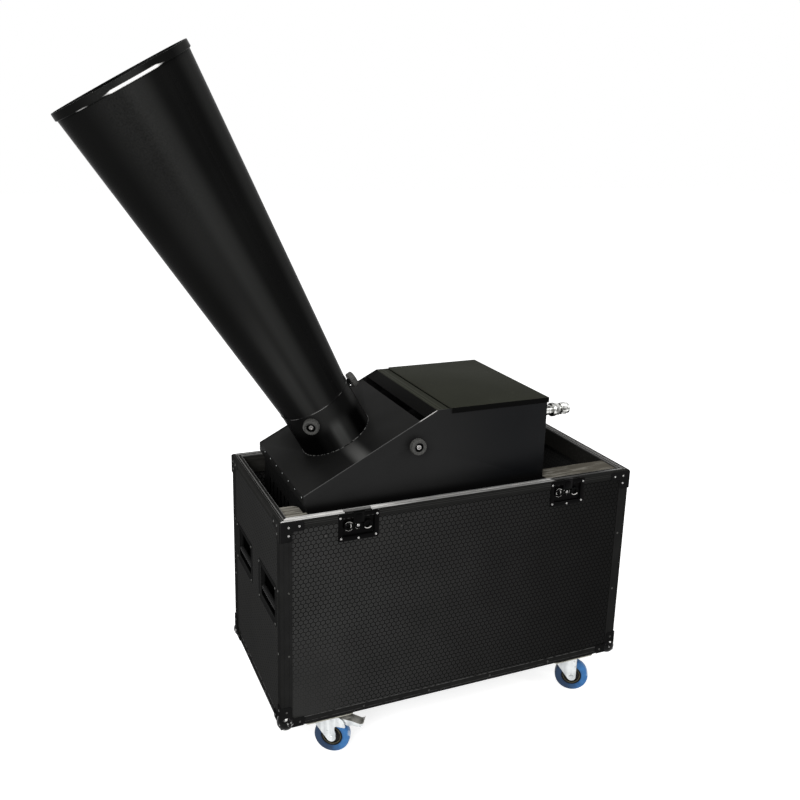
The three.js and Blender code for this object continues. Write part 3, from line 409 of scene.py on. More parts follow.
rim_top, rim_foot, rim_skin, rim_web, rim_width = case_height, 0.566, 0.002, 0.583, 0.023
first_rim_rib, rim_rib_pitch = 0.5865, 0.0052
rim_ribs = []
for rib in range(4):
    height = first_rim_rib - rib * rim_rib_pitch
    rim_ribs += [(0.0004, height), (0, height - 0.0004), (0, height - 0.0024), (0.0007, height - 0.0030)]
    rim_ribs += [(0.0007, height - 0.0044)]
rim_groove = mm((14.6, 0), (13.8, -1), (13.8, -4), (8.6, -4), (8.6, -1), (7.8, -0.2), (5, 0))
rim_profile = [(0.0010, rim_top - 0.0004), (0.0004, rim_top - 0.0012), *rim_ribs, (0, rim_foot)]
rim_profile += [(rim_skin, rim_foot), (rim_skin, rim_web), (rim_width, rim_web)]
rim_profile += [(rim_width, rim_top - 0.0006), (rim_width - 0.0006, rim_top)]
rim_profile += [(inset, rim_top + rise) for inset, rise in rim_groove]
latch_places = {"left": -0.316, "right": 0.316}
rim = framed("rim", rim_profile)
for middle in latch_places.values():
    carve(rim, case_at(middle - 0.0563, -0.270, 0.540), case_at(middle + 0.0563, -0.248, 0.5865))
    carve(rim, case_at(middle - 0.0385, -0.270, 0.540), case_at(middle + 0.0385, -0.2390, 0.600))
rim_finish = Finish("drawn_aluminium", specular=0.0)
rim_x, rim_y, rim_z = rim_finish.in_case()
inset_end = half_length - abs(rim_x)
inset_front = rim_y + half_width
rim_inset = inset_end.apply("MINIMUM", half_width - abs(rim_y))
# Masks for painted light on the rim: a painted reflection along the top of the front, and painted highlights
# on the groove lips.
on_front = (inset_end - inset_front).fades(-0.0002, 0.0002) * (1 - rim_y.fades(-0.010, 0.010))
beside_latch = abs(abs(rim_x) - latch_places["right"]).fades(0.0375, 0.0390)
reflecting_part = beside_latch.apply("MAXIMUM", rim_inset.fades(0.0160, 0.0168) * 0.4)
front_reflection = on_front * reflecting_part * (1 - rim_x.fades(0.262, 0.276)) * rim_inset.fades(0.0007, 0.0011)
at_right_end = rim_x.fades(0.40, 0.50)
# Painted highlights: thin bright lines along the lips of the groove, broader at the right end.
lip_highlights = rim_inset.line(0.0082, 0.0006).apply("MAXIMUM", rim_inset.line(0.0142, 0.0006) * 0.6)
lip_highlights = lip_highlights.apply("MAXIMUM", rim_inset.line(0.0224, 0.0006))
lip_highlights = lip_highlights.apply("MAXIMUM", rim_inset.line(0.0152, 0.0016) * at_right_end)
rubbed_and_highlit = front_reflection.apply("MAXIMUM", lip_highlights * (at_right_end * 0.4 + 0.4))
# Painted highlights and painted reflection, shown as bright metal on the top of the rim.
highlight_share = rim_z.fades(rim_top - 0.0050, rim_top - 0.0038) * rubbed_and_highlit
drawn = rim_finish.noise(30.0, 4.0, rim_finish.stretched((0.6, 14.0, 14.0)))
scuffs = rim_finish.noise(22.0, 6.0)
sheer = rim_finish.blend(drawn * 2.2 - 0.6 + (scuffs - 0.5) * 0.4, (0.34, 0.335, 0.325), (0.92, 0.91, 0.89))
# The painted reflection fades towards the right.
bright = rim_finish.mix(rim_x.fades(-0.27, -0.13) * 0.62, sheer, (0.05, 0.05, 0.048))
front_face = rim_finish.blend(drawn, (0.009, 0.009, 0.009), (0.020, 0.020, 0.019))
face = rim_finish.mix(on_front, (0.021, 0.021, 0.020), front_face)
second_rib, third_rib = (first_rim_rib - count * rim_rib_pitch for count in (1, 2))
rib_glint = rim_z.line(second_rib, 0.0005) + rim_z.line(third_rib, 0.0005)
ribbed = rim_finish.mix(rib_glint * 0.5, face, (0.045, 0.045, 0.043))
rim_finish.cover(highlight_share, ribbed, bright)
rim_finish.set("Metallic", highlight_share * 0.3)
rim_finish.gloss(0.36, scuffs, 0.25)
rim_finish.bump(drawn, 0.0002, 0.3)
fit(rim, "case", "rim", rim_finish, "rim_extrusion")


# Edgings of the case. The bottom frame and the four uprights are black anodised aluminium angle
# with shallow ribs, riveted through the panels.
anodised_black = Finish("anodised_black", specular=0.0)
brushed = anodised_black.noise(16.0, 4.0)
scuffs = anodised_black.noise(60.0, 6.0)
above_foot = anodised_black.in_case()[2]
# Painted highlights: thin light lines along the top edge and a lower rib of the bottom edging, broken by the
# scuffs.
rib_highlight_lines = above_foot.line(0.0236, 0.0008) + above_foot.line(0.0092, 0.0006) * 0.5
rubbed_and_highlit = brushed * 0.5 + scuffs.fades(0.66, 0.74) * 0.3
anodised_coat = anodised_black.blend(rubbed_and_highlit, (0.009, 0.009, 0.009), (0.030, 0.030, 0.029))
rib_highlights = rib_highlight_lines * scuffs.fades(0.36, 0.56)
anodised_black.cover(rib_highlights, anodised_coat, (0.075, 0.075, 0.073))
anodised_black.gloss(0.40, scuffs, 0.22)
anodised_black.bump(scuffs, 0.0002, 0.25)

bottom_rib_pitch = 0.0066
bottom_ribs = []
for rib in range(3):
    height = 0.0222 - rib * bottom_rib_pitch
    bottom_ribs += [(0, height), (0, height - 0.0036), (0.0006, height - 0.0042), (0.0006, height - 0.0058)]
bottom_profile = [(0.002, 0.0238), (0.0004, 0.0238), *bottom_ribs, (0, 0.002)]
bottom_profile += mm((2, 0), (24, 0), (24, 2), (2, 2))
bottom = framed("bottom_edging", bottom_profile)
fit(soften(bottom, 0.0002, 1), "case", "edging", anodised_black, "case_edging")


def twin(piece, matrix, name):
    """Another of the same piece, moved, turned or mirrored."""
    copy = bpy.data.objects.new(name, piece.data.copy())
    bpy.context.scene.collection.objects.link(copy)
    copy.data.transform(matrix)
    if matrix.determinant() < 0:
        copy.data.flip_normals()
    return copy


corner_names = {"left_front": (-1, -1), "left_back": (-1, 1), "right_front": (1, -1), "right_back": (1, 1)}


def at_corners(piece, body, slot, finish):
    """Puts the piece made at the left front corner on all four corners, mirrored to fit."""
    base = piece.name
    for name, (side_x, side_y) in corner_names.items():
        mirror = Matrix.Diagonal((-side_x, -side_y, 1, 1))
        middle = Matrix.Translation((case_middle_x, 0, 0))
        copy = twin(piece, middle @ mirror @ middle.inverted(), f"{base}_{name}")
        fit(copy, body, slot, finish)
    bpy.data.objects.remove(piece)


upright_outline = mm(
    (30.5, 2), (30.5, 0.4), (29, 0), (24, 0), (23.4, 0.6), (22.2, 0.6), (21.6, 0), (10.5, 0), (9.9, 0.6),
    (8.7, 0.6), (8.1, 0), (1.6, 0), (0, 1.6),
)
upright_outline += [(b, a) for a, b in reversed(upright_outline[:-2])] + [(0.002, 0.002)]
upright_points = [case_at(a - half_length, b - half_width, 0.0243) for a, b in upright_outline]
upright = slab("upright_edging", upright_points, (0, 0, 0.5415))
at_corners(upright, "case", "edging", anodised_black)


# Corner braces and ball corners. Both are pressed steel, powder coated black, and riveted over
# the ends of the edgings.
def black_coat(name, roughness, light, specular):
    finish = Finish(name, specular=specular)
    orange_peel = finish.noise(420.0, 2.0)
    handled = finish.noise(18.0, 5.0)
    finish.colour(handled, (light * 0.6,) * 3, (light * 1.4,) * 3)
    finish.gloss(roughness, handled, 0.2)
    finish.bump(orange_peel, 0.0003, 0.25)
    return finish


fitting_black = black_coat("fitting_black", 0.36, 0.0085, 0.0)
ball_black = Finish("ball_black", roughness=0.12, specular=0.08)
# Painted highlight: a bright spot on the upper front of each ball, with small bright flecks scattered over
# it.
ball_x, ball_y, ball_z = ball_black.in_case()
glint_x, glint_y = abs(ball_x) - 0.5128, abs(ball_y) - 0.2526
glint_z = ball_z - 0.0324
ball_glint = 1 - (glint_x * glint_x + glint_y * glint_y + glint_z * glint_z).apply("SQRT").fades(0.0030, 0.0042)
ball_glint = ball_glint.apply("MAXIMUM", ball_black.noise(95.0, 3.0).fades(0.60, 0.64) * 0.4)
ball_black.cover(ball_glint, (0.002, 0.002, 0.002), (0.85, 0.84, 0.82))


def joined(name, pieces):
    deselect()
    for piece in pieces:
        piece.select_set(True)
    bpy.context.view_layer.objects.active = pieces[0]
    bpy.ops.object.join()
    pieces[0].name = name
    return pieces[0]


brace_outline = mm(
    (-2.1, 0), (58, 0), (62, -4), (62, -21), (58, -25), (34, -25), (30, -29), (30, -48), (26, -52),
    (-2.1, -52),
)


def corner_flanges(outline, height, stand, sheet):
    """Two plates of one outline, on the front and on the end, beside the left front corner."""
    front_points = [case_at(a - half_length, -half_width - stand, height + b) for a, b in outline]
    end_points = [case_at(-half_length - stand, a - half_width, height + b) for a, b in outline]
    return slab("flange", front_points, (0, -sheet, 0)), slab("flange", end_points, (-sheet, 0, 0))


brace = joined("corner_brace", corner_flanges(brace_outline, 0.5865, 0.0003, 0.0018))
brace_black = Finish("brace_black", roughness=0.36, specular=0.0)
# The flange on the end is painted lighter than the one on the front, as painted light on the end.
on_end = abs(brace_black.in_case()[0]).fades(0.5240, 0.5254)
handled = brace_black.noise(18.0, 5.0)
front_coat = brace_black.blend(handled, (0.0050,) * 3, (0.0120,) * 3)
brace_black.cover(on_end, front_coat, (0.019, 0.019, 0.0185))
at_corners(soften(brace, 0.0005), "case", "fittings", brace_black)

deselect()
ball_middle = case_at(-0.5102, -0.237, 0.015)
bpy.ops.mesh.primitive_uv_sphere_add(segments=40, ring_count=24, radius=0.0235, location=ball_middle)
bpy.ops.object.transform_apply(location=True, rotation=True, scale=True)
ball = bpy.context.object
ball.name = "ball_corner"
ball = carve(ball, case_at(-0.5249, -0.2499, 0.0001), case_at(-0.40, -0.10, 0.10))
leg_outline = mm(
    (-1.5, 1), (60, 1), (64, 5), (64, 23), (60, 27), (36, 27), (28, 35), (28, 60), (24, 64), (-1.5, 64),
)
legs = corner_flanges(leg_outline, 0, 0.0002, 0.0020)
at_corners(soften(ball, 0.0004), "case", "fittings", ball_black)
at_corners(joined("ball_legs", [soften(leg, 0.0006) for leg in legs]), "case", "fittings", fitting_black)


# Rivets of the case. They are tubular steel rivets whose heads are hollow in the middle. The top
# rows on the front and back are bright, and the others are painted dark, as painted shade.
def turned(name, profile, centre=(0, 0, 0), axis=(0, 0, 1), steps=48):
    """A turned piece. The profile is given as radius and height along the axis."""
    direction = Vector(axis).normalized()
    side = direction.orthogonal().normalized()
    points = [Vector(centre) + direction * height + side * radius for radius, height in profile]
    draw(points)
    bpy.ops.mesh.spin(steps=steps, angle=2 * math.pi, center=centre, axis=direction)
    return finished(name)


def smooth(piece, angle=36):
    activate(piece)
    bpy.ops.object.shade_smooth_by_angle(angle=math.radians(angle))
    return piece


def clouded(name, noise, low, high, roughness, spread=0.0, relief=None, metallic=0.0, specular=0.5):
    """A finish that one noise clouds between two tones. The noise also varies its gloss and relief."""
    finish = Finish(name, roughness, metallic, specular)
    cloud = finish.noise(*noise)
    finish.colour(cloud, low, high)
    if spread:
        finish.gloss(roughness, cloud, spread)
    if relief:
        finish.bump(cloud, *relief)
    return finish


bright_steel = clouded(
    "bright_steel", (300.0, 4.0), (0.04, 0.04, 0.039), (0.50, 0.49, 0.48), 0.20, 0.2, metallic=1.0
)
shaded_steel = clouded(
    "shaded_steel", (260.0, 4.0), (0.010, 0.010, 0.0095), (0.085, 0.084, 0.080), 0.34, 0.2, metallic=1.0
)

rivet_profile = mm(
    (0, 0.1), (0.9, 0.1), (1.4, 1.1), (2.1, 1.3), (2.9, 0.8), (3.2, 0), (3.2, -0.3), (0, -0.3),
)
rivet_head = smooth(turned("rivet_head", rivet_profile, steps=14), 60)


def aimed(place, direction):
    """The matrix that takes a piece made along Z to a place and turns it to a direction."""
    return Matrix.Translation(place) @ Vector(direction).to_track_quat("Z", "Y").to_matrix().to_4x4()


def set_heads(name, head, places, body, slot, finish):
    """Sets a copy of the head at each place, facing its direction, as one piece."""
    heads = [twin(head, aimed(*seat), f"{name}_{index}") for index, seat in enumerate(places)]
    return fit(joined(name, heads), body, slot, finish)


def face_rivets(half, row, spot, direction):
    """The places of the rivets on one face, each with its direction."""
    plain = [(0.022, 0.213), (0.022, 0.393)]
    braced = [(0.0215, 0.574), (0.0495, 0.574), (0.0215, 0.5515)]
    balled = [(0.050, 0.014), (0.014, 0.050)]
    places = []
    for side in (-1, 1):
        for stand, group in ((0, plain), (0.0021, braced), (0.0022, balled)):
            places += [(spot(side * (half - inset), rise, stand), direction) for inset, rise in group]
    return places + [(spot(along, 0.0135, 0), direction) for along in row]


def on_long_face(side):
    return lambda along, rise, stand: case_at(along, side * (half_width + stand), rise)


def on_end_face(side):
    return lambda along, rise, stand: case_at(side * (half_length + stand), along, rise)


# The rivets low on the faces and on the ends take the dark copy of the steel, as painted shade.
bright_places, shaded_places = [], []
for side in (-1, 1):
    long_row, end_row = (-0.293, -0.097, 0.097, 0.293), (-0.097, 0.097)
    for rivet in face_rivets(half_length, long_row, on_long_face(side), (0, side, 0)):
        is_high = rivet[0].z > case_foot + 0.5
        (bright_places if is_high else shaded_places).append(rivet)
    shaded_places += face_rivets(half_width, end_row, on_end_face(side), (side, 0, 0))
for along, rise in ((-0.406, 0.536), (-0.196, 0.530)):
    shaded_places.append((case_at(along, 0.0006 - half_width, rise), (0, -1, 0)))
set_heads("bright_rivets", rivet_head, bright_places, "case", "edging", bright_steel)
set_heads("shaded_rivets", rivet_head, shaded_places, "case", "edging", shaded_steel)


# Latches. Each is a recessed butterfly draw latch: a pressed dish riveted into the front, a cam
# that its folding key turns, and a hook that the cam draws down on the cover's catch.
latch_black = black_coat("latch_black", 0.24, 0.0014, 0.02)


def rounded(width, height, radius):
    """The outline of a plate with round corners, about its middle."""
    a, b = width / 2 - radius, height / 2 - radius
    corners = ((a, b), (-a, b), (-a, -b), (a, -b))
    return [
        point
        for index, corner in enumerate(corners)
        for point in arc(corner, radius, index * 90, index * 90 + 90, 5)
    ]


def pressed(name, centre, out, up, rings, corner, wall):
    """A dish pressed from one sheet. Each ring is its width, its height and how far it stands out."""
    out, up = Vector(out), Vector(up)
    across = up.cross(out)
    wide, tall, stand = rings[0]
    outline = [centre + across * a + up * b + out * stand for a, b in rounded(wide, tall, corner)]
    draw([*outline, outline[0]])
    bpy.ops.mesh.remove_doubles(threshold=0.000002)
    bpy.ops.mesh.select_mode(type="EDGE")
    bpy.ops.mesh.select_all(action="SELECT")
    for new_wide, new_tall, new_stand in rings[1:]:
        bpy.ops.mesh.extrude_edges_move(TRANSFORM_OT_translate={"value": out * (new_stand - stand)})
        ratio = [
            1 + abs(across[i]) * (new_wide / wide - 1) + abs(up[i]) * (new_tall / tall - 1)
            for i in range(3)
        ]
        bpy.ops.transform.resize(value=ratio, center_override=centre)
        wide, tall, stand = new_wide, new_tall, new_stand
    bpy.ops.mesh.edge_face_add()
    dish = finished(name)
    floor_face = min(dish.data.polygons, key=lambda face: face.center.dot(out))
    if floor_face.normal.dot(out) < 0:
        dish.data.flip_normals()
    sheet = dish.modifiers.new("wall", "SOLIDIFY")
    sheet.thickness = wall
    sheet.offset = -1
    activate(dish)
    bpy.ops.object.modifier_apply(modifier="wall")
    return soften(dish, wall * 0.4)


latch_face = 0.0003 - half_width
for side, middle in latch_places.items():
    rings = [(0.112, 0.0752, 0), (0.0905, 0.0540, 0), (0.0880, 0.0515, -0.0010)]
    rings += [(0.0868, 0.0503, -0.0066), (0.0845, 0.0480, -0.0080)]
    centre = case_at(middle, latch_face, 0.5487)
    dish = pressed(f"latch_plate_{side}", centre, (0, -1, 0), (0, 0, 1), rings, 0.0060, 0.0013)
    carve(dish, case_at(middle - 0.0153, -0.27, 0.5700), case_at(middle + 0.0153, -0.24, 0.60))
    fit(dish, "case", "fittings", latch_black, f"latch_dish_{side}")
    spots = [(-0.0505, 0.576), (0.0505, 0.576), (-0.0480, 0.519), (0.0480, 0.519), (0, 0.5155)]
    dish_rivets = [(case_at(middle + a, latch_face, z), (0, -1, 0)) for a, z in spots]
    set_heads(f"latch_rivets_{side}", rivet_head, dish_rivets, "case", "fittings", bright_steel)


latch_rise, lobe_spread = 0.549, 0.0265
key_black = Finish("latch_key_black", specular=0.02)
key_x, _, key_z = key_black.in_case()
latch_step = 2 * latch_places["right"]
from_latch = (((key_x + latch_step) / latch_step).apply("FRACT") - 0.5) * latch_step
rise = key_z - latch_rise
lobe_x = abs(from_latch) - lobe_spread
lobe_reach = (lobe_x * lobe_x + rise * rise).apply("SQRT")
hub_reach = (from_latch * from_latch + rise * rise).apply("SQRT")
# Painted highlights: bright arcs on the lobes of the key and round its hub.
patch = key_black.noise(95.0, 2.0)
steep = abs(rise / lobe_reach).fades(0.55, 0.80)
at_left = 1 - from_latch.fades(-0.001, 0.001)
upper = rise.fades(-0.001, 0.001)
key_glints = lobe_reach.line(0.0122, 0.0009) * steep * (1 - upper * (1 - at_left))
key_glints = key_glints.apply("MAXIMUM", lobe_reach.line(0.0072, 0.0008) * patch.fades(0.52, 0.58) * at_left)
key_glints = key_glints.apply("MAXIMUM", hub_reach.line(0.0102, 0.0006) * patch.fades(0.50, 0.58) * 0.7)
key_black.cover(key_glints, (0.0012, 0.0012, 0.0012), (0.52, 0.51, 0.49))
key_black.set("Roughness", 0.22 + patch * 0.1)

cam_profile = mm((0, 0), (18.8, 0), (19, 0.4), (18.8, 1.4), (0, 1.4))
lobe_profile = mm(
    (6.2, 1.6), (6.6, 3), (8.2, 3.6), (10.4, 3.7), (12.4, 5.6), (13.2, 5.5), (13.2, 4.8), (11.2, 1.8),
    (10.4, 1.4), (6.2, 1.6),
)
boss_profile = mm((0, 1.4), (10.8, 1.4), (10.8, 3), (9.8, 4.1), (5, 4.4), (0, 4.4))
pin_profile = mm((0, 4), (4, 4), (4, 5.6), (3, 6.4), (1.2, 6.4), (0, 5.6))
neck_half = mm((6, 7), (14, 4.8), (20, 6.2))
neck_outline = neck_half + [(a, -b) for a, b in reversed(neck_half)]
hook_profile = mm(
    (-248.3, 558), (-248.3, 589.8), (-253.4, 589.8), (-253.7, 589.2), (-253.7, 587), (-253, 587),
    (-252.8, 588.2), (-250.2, 588.2), (-249.7, 587.2), (-249.7, 558),
)
for side, middle in latch_places.items():
    foot = case_at(middle, -0.2418, latch_rise)
    parts = [smooth(turned("cam", cam_profile, foot, (0, -1, 0), 40))]
    parts.append(smooth(turned("boss", boss_profile, foot, (0, -1, 0), 40)))
    for hand in (-1, 1):
        eye = foot + Vector((hand * lobe_spread, 0, hand * -0.0015))
        parts.append(smooth(turned("lobe", lobe_profile, eye, (0, -1, 0), 40), 40))
        neck = [foot + Vector((hand * a, -0.0016, b - a * hand * 0.05)) for a, b in neck_outline]
        parts.append(soften(slab("neck", neck, (0, -0.0020, 0)), 0.0007))
    key = joined(f"latch_turn_key_{side}", parts)
    fit(key, f"latch_key_{side}", "fittings", key_black, f"latch_key_{side}")
    pin = smooth(turned(f"latch_pin_{side}", pin_profile, foot, (0, -1, 0), 24))
    fit(pin, f"latch_key_{side}", "fittings", bright_steel)
    hook = slab("hook", [case_at(middle - 0.0150, y, z) for y, z in hook_profile], (0.030, 0, 0))
    rib_outline = [case_at(middle + a, -0.2496, 0.573 + b) for a, b in rounded(0.018, 0.017, 0.004)]
    rib = slab("hook_rib", rib_outline, (0, -0.0011, 0))
    hook = joined(f"latch_draw_hook_{side}", [soften(hook, 0.0003), soften(rib, 0.0006)])
    fit(hook, f"latch_hook_{side}", "fittings", latch_black, f"latch_hook_{side}")


# Handles of the case. Each is a deep pressed steel dish riveted into the end, with a sprung steel
# bail on two pins and a ribbed plastic grip.
grip_black = clouded(
    "grip_plastic", (350.0, 3.0), (0.008,) * 3, (0.018,) * 3, 0.5, relief=(0.0003, 0.3), specular=0.02
)
dish_black = Finish("dish_black", roughness=0.40, specular=0.0)
# The inside of the pan is painted near black, as painted shade; the flange has the plain coat.
flange = abs(dish_black.in_case()[0]).fades(0.5190, 0.5222)
worn_dish = dish_black.blend(dish_black.noise(18.0, 5.0), (0.008,) * 3, (0.018,) * 3)
dish_black.cover(flange, (0.0012, 0.0012, 0.0012), worn_dish)

arm_radius, arm_length, grip_half, handle_spread = 0.0045, 0.052, 0.066, 0.1215
arm_outline = arc((arm_radius, 0), arm_radius, 0, 180, 8)
arm_outline += arc((arm_radius, -arm_length), arm_radius, 180, 360, 8)
grip_profile = [(0, -grip_half), (0.0052, -grip_half), (0.0060, -0.0650), (0.0064, -0.060)]
first_grip_rib, grip_rib_pitch = -0.055, 0.00917
for rib in range(12):
    start = first_grip_rib + rib * grip_rib_pitch
    grip_profile += [(0.0064, start), (0.0070, start + 0.0009), (0.0070, start + 0.0062)]
    grip_profile += [(0.0064, start + 0.0071)]
grip_profile += [(0.0064, 0.060), (0.0060, 0.0650), (0.0052, grip_half), (0, grip_half)]
bail_pin_profile = mm((0, 0), (3.4, 0), (3.4, 6), (0, 6))
for name, (side_x, side_y) in corner_names.items():
    out = Vector((side_x, 0, 0))
    centre = case_at(side_x * 0.5248, side_y * handle_spread, 0.335)
    rings = [(0.172, 0.118, 0), (0.149, 0.095, 0), (0.1450, 0.091, -0.0012), (0.1400, 0.086, -0.0050)]
    rings += [(0.1370, 0.083, -0.0400), (0.1290, 0.075, -0.0440)]
    dish = pressed(f"handle_pan_{name}", centre, out, (0, 0, 1), rings, 0.008, 0.0014)
    fit(dish, "case", "fittings", dish_black, f"handle_dish_{name}")
    heads = [(centre + Vector((0, a * 0.0785, b * 0.0515)), out) for a in (-1, 1) for b in (-1, 1)]
    set_heads(f"handle_rivets_{name}", rivet_head, heads, "case", "fittings", shaded_steel)
    pivot = case_at(side_x * 0.515, side_y * handle_spread, 0.367)
    arms = []
    for hand in (-1, 1):
        foot = pivot + Vector((-arm_radius, hand * 0.0690, 0))
        arm = slab("arm", [foot + Vector((a, 0, b)) for a, b in arm_outline], (0, -hand * 0.004, 0))
        middle = foot + Vector((arm_radius, 0, 0))
        arms += [soften(arm, 0.0012), smooth(turned("bail_pin", bail_pin_profile, middle, (0, -hand, 0), 20))]
    bail = joined(f"handle_swing_{name}", arms)
    fit(bail, f"handle_bail_{name}", "fittings", fitting_black, f"handle_bail_{name}")
    grip_middle = pivot - Vector((0, 0, arm_length))
    grip = smooth(turned(f"handle_grip_{name}", grip_profile, grip_middle, (0, 1, 0), 28))
    fit(grip, f"handle_bail_{name}", "fittings", grip_black)


# Castors. Zinc plated swivel castors with a pressed fork, a blue elastic rubber tread on a dark
# plastic hub, and a brake pedal on the two at the left. Four bolts hold each top plate.
def plated(name, low, high, metallic=1.0):
    finish = Finish(name, metallic=metallic, specular=0.1)
    plating = finish.noise(38.0, 5.0)
    runs = finish.noise(60.0, 3.0, finish.stretched((1.0, 1.0, 0.12)))
    finish.colour(plating * 0.8 + runs * 1.6 - 0.75, low, high)
    finish.gloss(0.30, plating, 0.24)
    finish.bump(plating, 0.0003, 0.2)
    return finish


# The top plates and the brake levers are darker copies of the forks' zinc, as painted shade.
zinc = plated("zinc_plate", (0.34, 0.36, 0.37), (0.86, 0.88, 0.88), 0.6)
shaded_zinc = plated("shaded_zinc", (0.16, 0.155, 0.13), (0.40, 0.39, 0.34))
shaded_pedal_zinc = plated("shaded_pedal_zinc", (0.050, 0.048, 0.040), (0.56, 0.55, 0.51), 0.35)

tread_blue = Finish("tread_rubber", roughness=0.40, specular=0.25)
wear_and_shade = tread_blue.noise(60.0, 5.0)
fresh = tread_blue.blend(wear_and_shade, (0.018, 0.10, 0.30), (0.060, 0.23, 0.52))
tread_x = tread_blue.axes()[0]
left_start, right_start = (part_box(f"castor_wheel_{side}_front")[0].x for side in ("left", "right"))
on_right_wheels = tread_x.fades(left_start + 0.15, left_start + 0.20)
along_wheel = tread_x - left_start - on_right_wheels * (right_start - left_start)
# Painted shade on the left of each wheel's tread, and a painted highlight along its right edge; the wear
# noise breaks up both.
tread_shade = 1 - (along_wheel + (wear_and_shade - 0.5) * 0.02).fades(0.030, 0.072)
tread_glint = along_wheel.fades(0.074, 0.084) * wear_and_shade.fades(0.50, 0.58)
rubber = tread_blue.mix(tread_shade * 0.88, fresh, (0.010, 0.020, 0.044))
tread_blue.cover(tread_glint * 0.7, rubber, (0.62, 0.70, 0.80))
tread_blue.bump(wear_and_shade, 0.0004, 0.3)
hub_tones = (0.004, 0.004, 0.0035), (0.016, 0.015, 0.012)
hub_dark = clouded("hub_plastic", (90.0, 3.0), *hub_tones, 0.45, relief=(0.0002, 0.3), specular=0.10)
olive_tones = (0.030, 0.028, 0.018), (0.15, 0.14, 0.095)
olive = clouded("hub_ring_olive", (120.0, 3.0), *olive_tones, 0.5, specular=0.05)

hex_profile = mm((0, 0), (8, 0), (8, 3.6), (7, 4.4), (0, 4.4))
hex_head = turned("hex_head", hex_profile, steps=6)

kingpin_spread = (0.389, 0.198)
trail, axle_drop, swivel_turn = 0.025, 0.0777, 33
half_fork, fork_sheet, half_lever = 0.0173, 0.0032, 0.0149
tread_half = mm((29.2, -10.8), (31, -13.2), (44, -13.8), (47, -12.8), (49, -9.4), (49.6, -4.6))
tread_profile = [*tread_half, (0.04965, 0), *[(a, -b) for a, b in reversed(tread_half)]]
tread_profile += [(0.0288, 0.0090), (0.0288, -0.0090), tread_half[0]]
hub_half = mm(
    (8.5, -13.8), (15, -13.8), (16.5, -12.6), (17.5, -9), (22.2, -8.8), (23.2, -10.6), (26.2, -10.8),
    (28, -12.4), (29.4, -12.4),
)
hub_profile = [*hub_half, *[(a, -b) for a, b in reversed(hub_half)], hub_half[0]]
ring_profile = mm(
    (23.6, -10), (23.6, -11.6), (24.2, -12.2), (25, -12.2), (25.6, -11.6), (25.6, -10), (23.6, -10),
)

plate_sheet, bolt_spread = 0.0035, (0.0545, 0.0385)
race_profile = mm(
    (0, -3), (33.5, -3), (34.5, -4.5), (32.2, -6.8), (31, -9.2), (28.5, -11), (26.2, -12.5), (0, -12.5),
)
axle_boss_profile = mm((0, -1), (11.8, -1), (11.2, 0.6), (9.8, 1.1), (0, 1.1))
axle_profile = mm((0, -18), (6, -18), (6, 18), (0, 18))
bend = arc((0.0170, -0.0171), 0.0040, 0, 90, 5)
crown_profile = [*bend, *[(-a, b) for a, b in reversed(bend)], (-0.0210, -0.0185), (-0.0174, -0.0185)]
crown_profile += mm((-17.4, -16.3), (17.4, -16.3), (17.4, -18.5), (21, -18.5))
fork_back = mm((-32, -13.1), (-32, -20), (-30, -27), (13.8, -84.3))
fork_back += arc((trail, -axle_drop), 0.0129, 212, 358, 9)
straight_front = [(0.0380, -0.0640), (0.0380, -0.0131)]
waisted_front = mm(
    (37.2, -64), (34.5, -56), (33.8, -49), (35.2, -44), (39.5, -42), (62, -43), (64, -40), (60, -26),
    (54, -18), (46, -13.1),
)

lever_top = mm((33, -17.2), (56, -18), (80, -20.6), (95, -24.6), (103, -26.8), (109, -25.6), (113, -20.5))
lever_outline = lever_top + [(a + 0.0006, b - 0.0024) for a, b in reversed(lever_top)]
cheek_outline = mm(
    (33.5, -18), (80, -21.2), (95, -25.2), (103, -27.4), (109.2, -26.2), (112, -22.5), (111, -31),
    (105, -36.2), (95, -37), (83, -35.2), (70, -37.6), (56, -33.2), (44, -27.2), (34.5, -26.2),
)


def swung(piece, kingpin, side_y):
    """Turns a piece about the castor's kingpin to where the castor stands."""
    turn = Matrix.Rotation(math.radians(swivel_turn) * side_y, 4, "Z")
    piece.data.transform(Matrix.Translation(kingpin) @ turn @ Matrix.Translation(-kingpin))
    return piece


